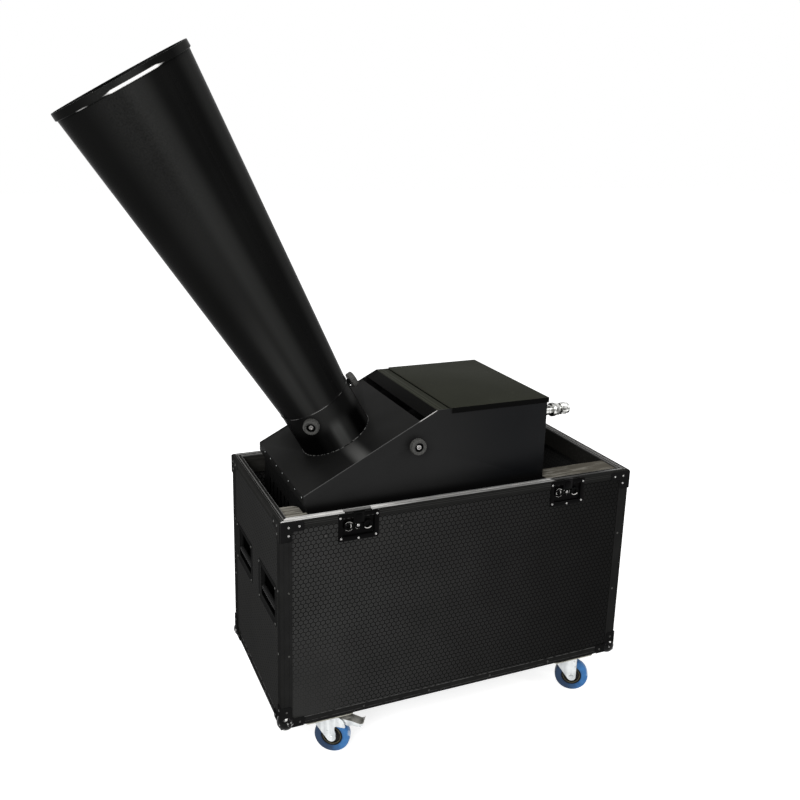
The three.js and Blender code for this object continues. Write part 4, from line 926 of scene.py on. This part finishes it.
for name, (side_x, side_y) in corner_names.items():
    kingpin = case_at(side_x * kingpin_spread[0], side_y * kingpin_spread[1], -0.0003)
    plate_points = [kingpin + Vector((a, b, 0)) for a, b in rounded(0.138, 0.104, 0.010)]
    plate = soften(slab("plate", plate_points, (0, 0, -plate_sheet)), 0.0008)
    race = smooth(turned("race", race_profile, kingpin, (0, 0, 1), 40))
    bolts = []
    for a, b in ((-1, -1), (-1, 1), (1, -1), (1, 1)):
        seat = kingpin + Vector((a * bolt_spread[0], b * bolt_spread[1], -plate_sheet))
        bolts.append(twin(hex_head, Matrix.Translation(seat) @ Matrix.Rotation(math.pi, 4, "X"), "bolt"))
    mount = joined(f"castor_top_plate_{name}", [plate, race, *bolts])
    fit(mount, "case", "zinc", shaded_zinc, f"castor_plate_{name}")

    axle = kingpin + Vector((trail, 0, -axle_drop))
    fork_front = waisted_front if side_x < 0 else straight_front
    pieces = []
    for hand in (-1, 1):
        points = [kingpin + Vector((a, hand * half_fork, b)) for a, b in fork_back + fork_front]
        pieces.append(soften(slab("leg", points, (0, hand * fork_sheet, 0)), 0.0008))
        boss_seat = axle + Vector((0, hand * 0.0202, 0))
        boss = smooth(turned("boss", axle_boss_profile, boss_seat, (0, hand, 0), 32))
        nut_turn = Matrix.Rotation(-hand * math.pi / 2, 4, "X")
        nut_seat = axle + Vector((0, hand * 0.0200, 0))
        pieces += [boss, twin(hex_head, Matrix.Translation(nut_seat) @ nut_turn, "nut")]
    crown = slab("crown", [kingpin + Vector((-0.032, a, b)) for a, b in crown_profile], (0.0700, 0, 0))
    pin = smooth(turned("axle", axle_profile, axle, (0, 1, 0), 24))
    fork = joined(f"castor_swivel_fork_{name}", [*pieces, soften(crown, 0.0006), pin])
    fit(swung(fork, kingpin, side_y), f"castor_{name}", "zinc", zinc, f"castor_fork_{name}")

    tread = smooth(turned(f"castor_tread_{name}", tread_profile, axle, (0, 1, 0), 72), 50)
    wheel = f"castor_wheel_{name}"
    fit(swung(tread, kingpin, side_y), wheel, "wheel", tread_blue, wheel)
    hub = smooth(turned(f"castor_hub_{name}", hub_profile, axle, (0, 1, 0), 72))
    fit(swung(hub, kingpin, side_y), wheel, "wheel", hub_dark)
    for hand in (-1, 1):
        ring = smooth(turned(f"castor_ring_{name}_{hand + 1}", ring_profile, axle, (0, -hand, 0), 72))
        fit(swung(ring, kingpin, side_y), wheel, "wheel", olive)
    if side_x > 0:
        continue

    lever_points = [kingpin + Vector((a, -half_lever, b)) for a, b in lever_outline]
    lever = soften(slab(f"brake_lever_{name}", lever_points, (0, 2 * half_lever, 0)), 0.0005)
    fit(swung(lever, kingpin, side_y), f"brake_pedal_{name}", "zinc", shaded_pedal_zinc, f"brake_pedal_{name}")
    sides = []
    for hand in (-1, 1):
        points = [kingpin + Vector((a, hand * 0.0150, b)) for a, b in cheek_outline]
        sides.append(soften(slab("cheek", points, (0, -hand * 0.0022, 0)), 0.0005))
    cheeks = joined(f"brake_cheeks_{name}", sides)
    fit(swung(cheeks, kingpin, side_y), f"brake_pedal_{name}", "zinc", zinc)
bpy.data.objects.remove(hex_head)


# Hood of the machine. It is folded from 3 mm steel sheet, welded at the corners and powder coated
# black: two sides, a sloping deck, a strip over the fold, a hinged lid, a rear panel and the tub.
machine_middle_y = (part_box("hood_front_side")[0].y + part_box("hood_back_side")[1].y) / 2


def eased(node, name, slot, finish, width, body="case"):
    """A copy of a solid of the frame with its edges eased, standing for it."""
    piece = bpy.data.objects.new(name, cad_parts[node].data.copy())
    bpy.context.scene.collection.objects.link(piece)
    activate(piece)
    bpy.ops.object.mode_set(mode="EDIT")
    bpy.ops.mesh.select_all(action="SELECT")
    bpy.ops.mesh.remove_doubles(threshold=0.00002)
    bpy.ops.mesh.dissolve_limited(angle_limit=math.radians(0.5))
    bpy.ops.object.mode_set(mode="OBJECT")
    return fit(soften(piece, width), body, slot, finish, node)


def powder_coat(name, specular, roughness=0.5):
    """A finish with the fine texture of powder coat, still to be coloured."""
    finish = Finish(name, roughness=roughness, specular=specular)
    finish.bump(finish.noise(900.0, 2.0), 0.0002, 0.2)
    return finish


hood_black = powder_coat("hood_black", 0.05)
rubs = hood_black.noise(26.0, 7.0, hood_black.stretched((1.0, 1.0, 2.2)))
handling = hood_black.noise(5.0, 4.0) * 0.6 + rubs.fades(0.62, 0.80) * 0.5
hood_black.colour(handling, (0.0075,) * 3, (0.0150,) * 3)
hood_black.gloss(0.42, rubs, 0.18)

deck_black = powder_coat("deck_black", 0.004, 0.38)
deck_x, deck_y, _ = deck_black.in_case()
# Painted reflection of the collar on the deck below the barrel. The deck is also lighter at its foot and near
# the slot.
collar_reflection = 1 - abs(deck_x + 0.287).fades(0.003, 0.029)
collar_reflection = collar_reflection * (1 - deck_y.fades(-0.20, 0.0) * 0.6) * (1 - deck_y.fades(-0.03, 0.0))
at_deck_foot = 1 - deck_x.fades(-0.425, -0.365)
near_slot = deck_x.fades(-0.27, -0.17)
deck_tone_and_light = deck_black.noise(5.0, 4.0) * 0.16 + at_deck_foot * 0.10 + near_slot * 0.09 + collar_reflection * 0.9
deck_black.colour(deck_tone_and_light, (0.0033,) * 3, (0.066, 0.066, 0.064))

top_tint = (1.0, 1.04, 0.80)
lid_black = powder_coat("lid_black", 0.004)
lid_y = lid_black.axes()[1]
near_lid, far_lid = (corner.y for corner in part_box("top_lid"))
# The lid's front and back faces are painted near black, as painted shade, and its top is painted lighter than
# the hood's sides, as painted light.
lid_face = lid_y.fades(near_lid + 0.0008, near_lid + 0.0016)
lid_face = lid_face * (1 - lid_y.fades(far_lid - 0.0016, far_lid - 0.0008))
lid_light = lid_black.noise(5.0, 4.0) * 0.6 + lid_black.noise(26.0, 7.0).fades(0.62, 0.80) * 0.4
low_tone, high_tone = ([level * part for part in top_tint] for level in (0.018, 0.034))
lid_top = lid_black.blend(lid_light, low_tone, high_tone)
lid_black.cover(lid_face, (0.0035, 0.0035, 0.0034), lid_top)

strip_black = powder_coat("strip_black", 0.004)
strip_x = strip_black.in_case()[0]
# The flat top of the strip is painted lighter than its sloping part, as painted light, and its two ridges
# carry painted highlights.
flat_part = strip_x.fades(-0.0785, -0.0775)
ridge_highlights = strip_x.line(-0.070, 0.0016) + strip_x.line(-0.060, 0.0016)
strip_top = strip_black.mix(ridge_highlights * 0.5, [0.0225 * part for part in top_tint], (0.050, 0.051, 0.042))
strip_black.cover(flat_part, (0.0040, 0.0040, 0.0038), strip_top)

side_black = powder_coat("hood_side", 0.05)
sheet_x, _, sheet_z = side_black.in_case()
deck_slope = 0.5162
slope_at = (sheet_z - 0.627) - (sheet_x + 0.448) * deck_slope
# Painted highlight: a thin bright line along the sloping top edge, brightest over a short stretch.
edge_highlight = slope_at.line(-0.0004, 0.0007)
brightest_stretch = sheet_x.fades(-0.135, -0.120) * (1 - sheet_x.fades(-0.082, -0.078))
edge_highlight_tone = side_black.mix(brightest_stretch, (0.055, 0.055, 0.054), (0.42, 0.41, 0.40))
side_cloud = side_black.noise(5.0, 4.0)
side_coat_and_shade = side_black.blend(side_cloud, (0.0100,) * 3, (0.0155,) * 3)
# Painted shade: darker towards the right, and near black low down by the rim.
side_coat_and_shade = side_black.mix(sheet_x.fades(-0.10, 0.19), side_coat_and_shade, (0.0044, 0.0047, 0.0053))
side_coat_and_shade = side_black.mix(sheet_z.fades(0.588, 0.610), (0.0040,) * 3, side_coat_and_shade)
side_black.cover(edge_highlight, side_coat_and_shade, edge_highlight_tone)
side_black.gloss(0.42, side_cloud, 0.18)

eased("hood_front_side", "hood_side_front", "hood", side_black, 0.0007)
eased("hood_back_side", "hood_side_back", "hood", hood_black, 0.0007)
eased("deck_plate", "sloping_deck", "hood", deck_black, 0.0005)
eased("strip_plate", "fold_strip", "hood", strip_black, 0.0007)
eased("top_lid", "hinged_lid", "hood", lid_black, 0.0010, "top_lid")
eased("rear_panel", "hood_rear_panel", "hood", hood_black, 0.0006)
eased("lower_tub", "machine_tub", "hood", hood_black, 0.0008)

screw_profile = mm((0, 2.6), (1.3, 2.6), (2.2, 2), (2.4, 1), (0, 1))
deck_screw = turned("deck_screw", screw_profile, steps=12)
screw_pitch, screw_count = 0.0572, 8
screw_places = []
for index in range(screw_count):
    along = (index - (screw_count - 1) / 2) * screw_pitch
    screw_places.append((case_at(-0.4481, machine_middle_y + along, 0.621), (-1, 0, 0)))
set_heads("deck_screws", deck_screw, screw_places, "case", "hood", zinc)
bpy.data.objects.remove(deck_screw)


# Barrel. The cone and the collar it drops into are rolled from 2 mm steel and gloss coated black.
# The cone has a lapped and spot welded seam, a band round its mouth and a lip at its foot.
barrel_axis = Vector((-0.5, 0, math.sqrt(0.75)))
barrel_foot = case_at(-0.2876, machine_middle_y, 0.7087)
lean_side = Vector((math.sqrt(0.75), 0, 0.5))
collar_top, mouth, foot_radius, mouth_radius = 0.1283, 1.076, 0.1006, 0.1758
cone_slope = (mouth_radius - foot_radius) / (mouth - collar_top)
band_foot = mouth - 0.0205


def cone_radius(height):
    return foot_radius + (height - collar_top) * cone_slope


barrel_black = Finish("barrel_black", specular=0.003)
haze = barrel_black.noise(3.0, 4.0)
pebble = barrel_black.noise(700.0, 2.0)
smear = barrel_black.noise(20.0, 6.0, barrel_black.stretched((1.0, 1.0, 0.4)))
barrel_black.gloss(0.24, smear, 0.12)
barrel_black.bump(pebble, 0.0002, 0.22)
from_foot = barrel_black.node(
    "ShaderNodeVectorMath", {"operation": "SUBTRACT"}, {0: barrel_black.place, 1: tuple(barrel_foot)}
)


def along(direction):
    """How far a point of the barrel lies from its foot in the direction."""
    vectors = {0: from_foot, 1: tuple(direction)}
    return barrel_black.node("ShaderNodeVectorMath", {"operation": "DOT_PRODUCT"}, vectors, 1)


lift = along(barrel_axis)
turn_of = along((0, 1, 0)).apply("ARCTAN2", along(lean_side))


def facing(turn, half_width):
    """1 on the side of the barrel that is turned by so many degrees, fading out beside it."""
    away = abs(turn_of - math.radians(turn))
    return 1 - away.fades(math.radians(half_width * 0.2), math.radians(half_width))


def lit(level, *bands):
    """A level with soft bands of light, each with its turn, its half width and its strength."""
    for turn, half_width, strength in bands:
        level = facing(turn, half_width) * strength + level
    return level


# Painted light on the barrel: soft bands of painted sheen round the cone and the collar, a painted highlight
# along the foot of the mouth band, and painted glints on the foot lip.
mottle = barrel_black.noise(260.0, 3.0)
sheen_speckle = (mottle - 0.5) * facing(-104, 26) * lift.fades(0.55, 1.0) * 0.35
cone_light = lit((haze - 0.5) * 0.12 + 0.09, (-104, 34, 0.16), (-90, 15, 0.16), (-34, 20, 0.26)) + sheen_speckle
cone_light = lit(cone_light, (58, 34, 0.22), (128, 26, 0.18))
cone_light = facing(-115, 14) * (1 - lift.fades(0.22, 0.55)) * 0.22 + cone_light
collar_high = lit(0.08, (-102, 34, 0.30), (-33, 20, 0.35))
collar_low = lit(0.0, (-91, 13, 0.75), (-86, 26, 0.35), (-110, 20, 0.06), (-24, 22, 0.20))
on_collar = 1 - lift.fades(collar_top - 0.001, collar_top)
collar_light = collar_low + lift.fades(0.055, 0.095) * (collar_high - collar_low)
sheen = cone_light + on_collar * (collar_light - cone_light)
whole = (facing(-89, 27) * 3.0).apply("MINIMUM", 1.0)
band_highlight = lift.line(band_foot + 0.0032, whole * 0.0034 + 0.0003) * whole
band_highlight = band_highlight.apply("MAXIMUM", lift.line(band_foot + 0.0010, 0.0012) * facing(-134, 7) * 0.4)
foot_lip_glints = lift.line(collar_top + 0.0020, 0.0010) * smear.fades(0.46, 0.58) * 0.14
coat_with_sheen = barrel_black.blend(sheen, (0.0010,) * 3, (0.0460, 0.0464, 0.0450))
out_from_axis = (along(lean_side) * along(lean_side) + along((0, 1, 0)) * along((0, 1, 0))).apply("SQRT")
band_highlight = band_highlight * out_from_axis.fades(0.1752, 0.1757)
barrel_highlights = band_highlight.apply("MAXIMUM", foot_lip_glints)
barrel_black.cover(barrel_highlights, coat_with_sheen, (0.95, 0.94, 0.92))

cone_profile = mm(
    (94.5, 18.3), (96.2, 18.3), (96.5, 18.7), (96.5, 128.3), (101.2, 128.3), (102, 129), (102, 132.2),
    (101.6, 133.1), (100.9, 133.5),
)
cone_profile += [(cone_radius(height), height) for height in (0.1360, 0.30, 0.50, 0.70, 0.90, band_foot)]
cone_profile += [(0.1763, band_foot + 0.0001), (0.1783, band_foot + 0.0020), (0.1783, mouth - 0.0012)]
cone_profile += [(0.1773, mouth), (0.1746, mouth), (0.1738, mouth - 0.0008)]
cone_profile += [(cone_radius(height) - 0.002, height) for height in (1.0, 0.70, 0.40)]
cone_profile += mm((99, 133.6), (94.5, 128.3), (94.5, 18.3))
cone = smooth(turned("barrel_shell", cone_profile, barrel_foot, barrel_axis, 160), 30)
fit(cone, "barrel", "barrel", barrel_black, "barrel_cone")


def on_barrel(turn, radius, height):
    """A place round the barrel, turned from the side that faces the lid."""
    angle = math.radians(turn)
    across = lean_side * math.cos(angle) + Vector((0, 1, 0)) * math.sin(angle)
    return barrel_foot + barrel_axis * height + across * radius, across


seam_turn, half_lap = -61, 0.0065
edges = []
for height in (0.140, band_foot - 0.0005):
    for offset in (-1, 1):
        edge_turn = seam_turn + offset * math.degrees(half_lap / cone_radius(height))
        edges.append(on_barrel(edge_turn, cone_radius(height) - 0.0002, height)[0])
lap_out = on_barrel(seam_turn, 1, 0)[1]
lap = slab("seam_lap", [edges[0], edges[1], edges[3], edges[2]], lap_out * 0.0005)
spot_profile = mm((0, 0.2), (1.8, 0.4), (3, 0.2), (3.4, -0.2), (0, -0.3))
weld_spot = turned("weld_spot", spot_profile, steps=12)
first_spot, spot_pitch, spot_count = 0.175, 0.0525, 17
spots = []
for index in range(spot_count):
    height = first_spot + index * spot_pitch
    place = on_barrel(seam_turn, cone_radius(height) + 0.0006, height)[0]
    spots.append(twin(weld_spot, aimed(place, lap_out), "spot"))
seam = joined("barrel_seam", [soften(lap, 0.0003), *spots])
fit(smooth(seam, 50), "barrel", "barrel", barrel_black)
bpy.data.objects.remove(weld_spot)

collar_profile = mm((98, -12), (101, -12), (101, 127.2), (100.3, 128), (98.5, 128), (98, 127.4), (98, -12))
collar = turned("collar", collar_profile, barrel_foot, barrel_axis, 160)
deck_normal = Vector((-0.4587, 0, 0.8886))
activate(collar)
bpy.ops.object.mode_set(mode="EDIT")
bpy.ops.mesh.select_all(action="SELECT")
bpy.ops.mesh.bisect(
    plane_co=barrel_foot + deck_normal * 0.0003, plane_no=deck_normal, use_fill=True, clear_inner=True
)
finished("barrel_socket")
bead_profile = mm((100.5, 0.2), (102.6, 0.2), (102.4, 0.9), (101.6, 1.5), (100.5, 1.7))
bead = turned("collar_weld", [*bead_profile, bead_profile[0]], barrel_foot, deck_normal, 120)
weld_black = Finish("weld_black", roughness=0.4, specular=0.02)
# Painted glints: bright patches scattered along the weld bead.
bead_glints = weld_black.noise(160.0, 3.0)
weld_black.colour(bead_glints.fades(0.46, 0.60), (0.004,) * 3, (0.085, 0.085, 0.082))
fit(smooth(collar, 30), "case", "barrel", barrel_black, "barrel_collar")
fit(smooth(bead, 50), "case", "barrel", weld_black)


# Clamping knobs. Black moulded knobs on steel studs, with a fluted edge, a stepped face and a
# screw sunk in the middle. Three pinch the cone in its collar and two hold the hood to the tub.
knob_tones = (0.016, 0.016, 0.0155), (0.094, 0.093, 0.088)
knob_plastic = clouded("knob_plastic", (170.0, 4.0), *knob_tones, 0.46, 0.2, (0.0003, 0.35), specular=0.10)

grip_profile = mm(
    (0, 6.8), (9, 6.8), (17, 7.2), (20.6, 8), (22, 9.8), (22, 21.4), (21.3, 23.3), (19.8, 24.6),
    (17.8, 24.9), (16.3, 24.7), (15.6, 23.7), (14.8, 23.2), (12.8, 23), (12.4, 22.4), (12.4, 17), (0, 17),
)
fluted_steps = 96
knob_grip = turned("knob_grip", grip_profile, steps=fluted_steps)


def flute(piece, place, axis, least, step, keep, ratio):
    """Draws in the outermost points of a turned piece wherever the step number is in keep."""
    activate(piece)
    bpy.ops.object.mode_set(mode="EDIT")
    bpy.ops.mesh.select_mode(type="VERT")
    bpy.ops.mesh.select_all(action="DESELECT")
    bpy.ops.object.mode_set(mode="OBJECT")
    for vertex in piece.data.vertices:
        across = vertex.co - Vector(place)
        b, a = (across[(axis + 2) % 3], across[(axis + 1) % 3])
        count = round(math.degrees(math.atan2(b, a)) / (360 / fluted_steps))
        vertex.select = math.hypot(a, b) > least and count % step in keep
    bpy.ops.object.mode_set(mode="EDIT")
    scale = [1 if index == axis else ratio for index in range(3)]
    bpy.ops.transform.resize(value=scale, center_override=place)
    return finished(piece.name)


knob_grip = smooth(flute(knob_grip, (0, 0, 0), 2, 0.0208, 4, (0, 1), 0.958), 28)
stud_profile = mm((0, -4), (5, -4), (5, 0), (11.5, 0.2), (11.5, 1.8), (8.8, 2), (8.8, 7), (0, 7))
knob_stud = smooth(turned("knob_stud", stud_profile, steps=40))
well_profile = mm(
    (0, 16.9), (12.2, 16.9), (12.2, 22.6), (11.6, 22.9), (10.6, 22.2), (10.2, 17.8), (0, 17.8),
)
knob_well = smooth(turned("knob_well", well_profile, steps=48))
cap_profile = mm((0, 17.2), (6.8, 17.2), (6.8, 21.2), (6.1, 22), (4, 22), (3.8, 18.8), (0, 18.8))
knob_screw = smooth(turned("knob_screw", cap_profile, steps=30))

knob_places = {}
collar_wall, collar_knob_rise = 0.1010, 0.106
for side, turn in (("rear", 0), ("front", -120), ("back", 120)):
    knob_places[f"collar_knob_{side}"] = on_barrel(turn, collar_wall, collar_knob_rise)
for side, hand in (("front", -1), ("back", 1)):
    seat = case_at(-0.139, machine_middle_y + hand * 0.212, 0.729)
    knob_places[f"side_knob_{side}"] = (seat, (0, hand, 0))
for node, seat in knob_places.items():
    on_seat = aimed(*seat)
    fit(twin(knob_grip, on_seat, f"{node}_grip"), node, "knob", knob_plastic, node)
    fit(twin(knob_stud, on_seat, f"{node}_stud"), node, "knob", fitting_black)
    # The well is painted near black, as painted shade in the knob's recess.
    fit(twin(knob_well, on_seat, f"{node}_well"), node, "knob", latch_black)
    fit(twin(knob_screw, on_seat, f"{node}_screw"), node, "knob", bright_steel)
for master in (knob_grip, knob_stud, knob_well, knob_screw, rivet_head):
    bpy.data.objects.remove(master)


# Gas coupling. A chromed quick coupling screwed into the rear panel: a washer, a body, a flange, a
# hexagon nut and a nipple, with a knurled sleeve that is pulled back to free the hose.
chrome = Finish("chrome", metallic=1.0)
polish = chrome.noise(55.0, 4.0).fades(0.36, 0.62)
chrome.colour(polish, (0.10, 0.10, 0.095), (0.62, 0.62, 0.60))
chrome.set("Roughness", 0.10 + polish * 0.10)

inlet_place = case_at(0.262, -0.130, 0.756)
body_profile = mm((0, -22), (12, -22), (12, 0.3), (19.2, 0.3), (20, 1.2), (20, 5.2), (19.2, 6), (14.5, 6))
first_groove, groove_pitch = 0.0150, 0.0100
for groove in range(4):
    start = first_groove + groove * groove_pitch
    body_profile += [(0.0145, start), (0.0136, start + 0.0006)]
    body_profile += [(0.0136, start + 0.0020), (0.0145, start + 0.0026)]
body_profile += mm(
    (14.5, 59), (18.8, 59), (20, 60.2), (20, 68.8), (18.8, 70), (12, 70), (12, 115.8), (10.8, 117),
    (5.2, 117), (5.2, 77), (0, 77),
)
coupling = smooth(turned("coupling", body_profile, inlet_place, (1, 0, 0), 56), 30)
nut_profile = mm((0, 69.9), (17.2, 69.9), (19, 71.2), (19, 81.8), (17.2, 83), (0, 83))
nut = turned("coupling_nut", nut_profile, inlet_place, (1, 0, 0), 6)
coupling = joined("gas_inlet", [coupling, soften(nut, 0.0004)])
fit(coupling, "case", "chrome", chrome, "gas_coupling")
sleeve_profile = mm(
    (12.6, 90.2), (16, 90.2), (17, 91.2), (17, 106.8), (16.4, 108.4), (15.4, 109.6), (15.4, 115),
    (14.4, 116.9), (12.6, 116.9), (12.6, 90.2),
)
sleeve = turned("pull_sleeve", sleeve_profile, inlet_place, (1, 0, 0), fluted_steps)
sleeve = smooth(flute(sleeve, inlet_place, 0, 0.0168, 2, (0,), 0.955), 25)
fit(sleeve, "coupling_sleeve", "chrome", chrome, "coupling_sleeve")


# Works inside the machine: the throat duct and the chute of sheet, painted near black as painted
# shade inside the machine, the brass nozzle and valve, the stainless pipes, and the control box
# behind the rear panel.
shadow_black = Finish("shadow_black_sheet", specular=0.01)
cells = {"Vector": shadow_black.place, "Scale": 70.0}
flower = shadow_black.node("ShaderNodeTexVoronoi", {"feature": "F1"}, cells, 0)
shadow_black.colour(flower, (0.0030,) * 3, (0.0060, 0.0060, 0.0058))
shadow_black.set("Roughness", 0.34 + flower * 0.3)
brass = clouded("brass", (60.0, 5.0), (0.42, 0.27, 0.09), (0.70, 0.50, 0.19), 0.36, 0.2, metallic=1.0)
pipe_tones = (0.42, 0.42, 0.41), (0.66, 0.66, 0.64)
stainless = clouded("stainless_pipe", (90.0, 4.0), *pipe_tones, 0.32, 0.16, metallic=1.0)
eased("throat_duct", "throat_tube", "inner_sheet", shadow_black, 0.0004)
eased("hopper_chute", "feed_chute", "inner_sheet", shadow_black, 0.0006)
eased("jet_nozzle", "blow_nozzle", "brass", brass, 0.0005)
eased("solenoid_valve", "gas_valve", "brass", brass, 0.0007)
eased("nozzle_pipe", "pipe_to_nozzle", "steel", stainless, 0.0002)
eased("supply_pipe", "pipe_to_valve", "steel", stainless, 0.0002)
eased("control_box", "control_housing", "fittings", hood_black, 0.0008)


# Studio. A plain pale floor and world, which the lens sees as white, with a broad lamp at the front
# left, a strip lamp at the front right and a broad lamp overhead.
def white_for_lens(tree, plain, white):
    """The plain shader for soft light, and the white one for the lens, gloss and glass."""
    rays = tree.nodes.new("ShaderNodeLightPath")
    share = rays.outputs["Is Camera Ray"]
    for name in ("Is Glossy Ray", "Is Transmission Ray"):
        larger = tree.nodes.new("ShaderNodeMath")
        larger.operation = "MAXIMUM"
        tree.links.new(share, larger.inputs[0])
        tree.links.new(rays.outputs[name], larger.inputs[1])
        share = larger.outputs[0]
    mix = tree.nodes.new("ShaderNodeMixShader")
    tree.links.new(share, mix.inputs[0])
    tree.links.new(plain, mix.inputs[1])
    tree.links.new(white, mix.inputs[2])
    return mix.outputs[0]


def shader(tree, kind, **values):
    """A shader node with its inputs set, as its output."""
    node = tree.nodes.new(kind)
    for name, value in values.items():
        node.inputs[name].default_value = value
    return node.outputs[0]


deselect()
bpy.ops.mesh.primitive_plane_add(size=40, location=(0, 0, 0))
floor = bpy.context.object
floor.name = "studio_floor"
pale = bpy.data.materials.new("pale_floor")
pale.use_nodes = True
tree = pale.node_tree
tree.nodes.clear()
matt = shader(tree, "ShaderNodeBsdfDiffuse", Color=(0.80, 0.80, 0.80, 1))
glow = shader(tree, "ShaderNodeEmission", Strength=0.75)
both = tree.nodes.new("ShaderNodeAddShader")
tree.links.new(matt, both.inputs[0])
tree.links.new(glow, both.inputs[1])
surface = tree.nodes.new("ShaderNodeOutputMaterial")
tree.links.new(white_for_lens(tree, matt, both.outputs[0]), surface.inputs[0])
floor.data.materials.append(pale)

world = bpy.data.worlds.new("studio")
bpy.context.scene.world = world
world.use_nodes = True
tree = world.node_tree
tree.nodes.clear()
dim = shader(tree, "ShaderNodeBackground", Color=(1, 1, 1, 1), Strength=0.45)
full = shader(tree, "ShaderNodeBackground", Color=(1, 1, 1, 1), Strength=1.0)
surface = tree.nodes.new("ShaderNodeOutputWorld")
tree.links.new(white_for_lens(tree, dim, full), surface.inputs[0])


def lamp(name, place, aim, width, height, power):
    light = bpy.data.lights.new(name, "AREA")
    light.shape = "RECTANGLE"
    light.size, light.size_y, light.energy = width, height, power
    stand = bpy.data.objects.new(name, light)
    bpy.context.scene.collection.objects.link(stand)
    turn = (Vector(aim) - Vector(place)).to_track_quat("-Z", "Y").to_matrix().to_4x4()
    stand.matrix_world = Matrix.Translation(Vector(place)) @ turn


lamp("key_softbox", (-2.3, -2.7, 2.7), (-0.1, 0, 0.7), 1.8, 1.8, 95)
lamp("side_strip", (2.6, -2.4, 2.2), (-0.2, 0, 1.0), 0.5, 2.6, 30)
lamp("top_softbox", (-0.3, 0.3, 4.2), (-0.1, 0, 0.6), 3.0, 2.0, 55)

bpy.context.scene.view_settings.view_transform = "Standard"
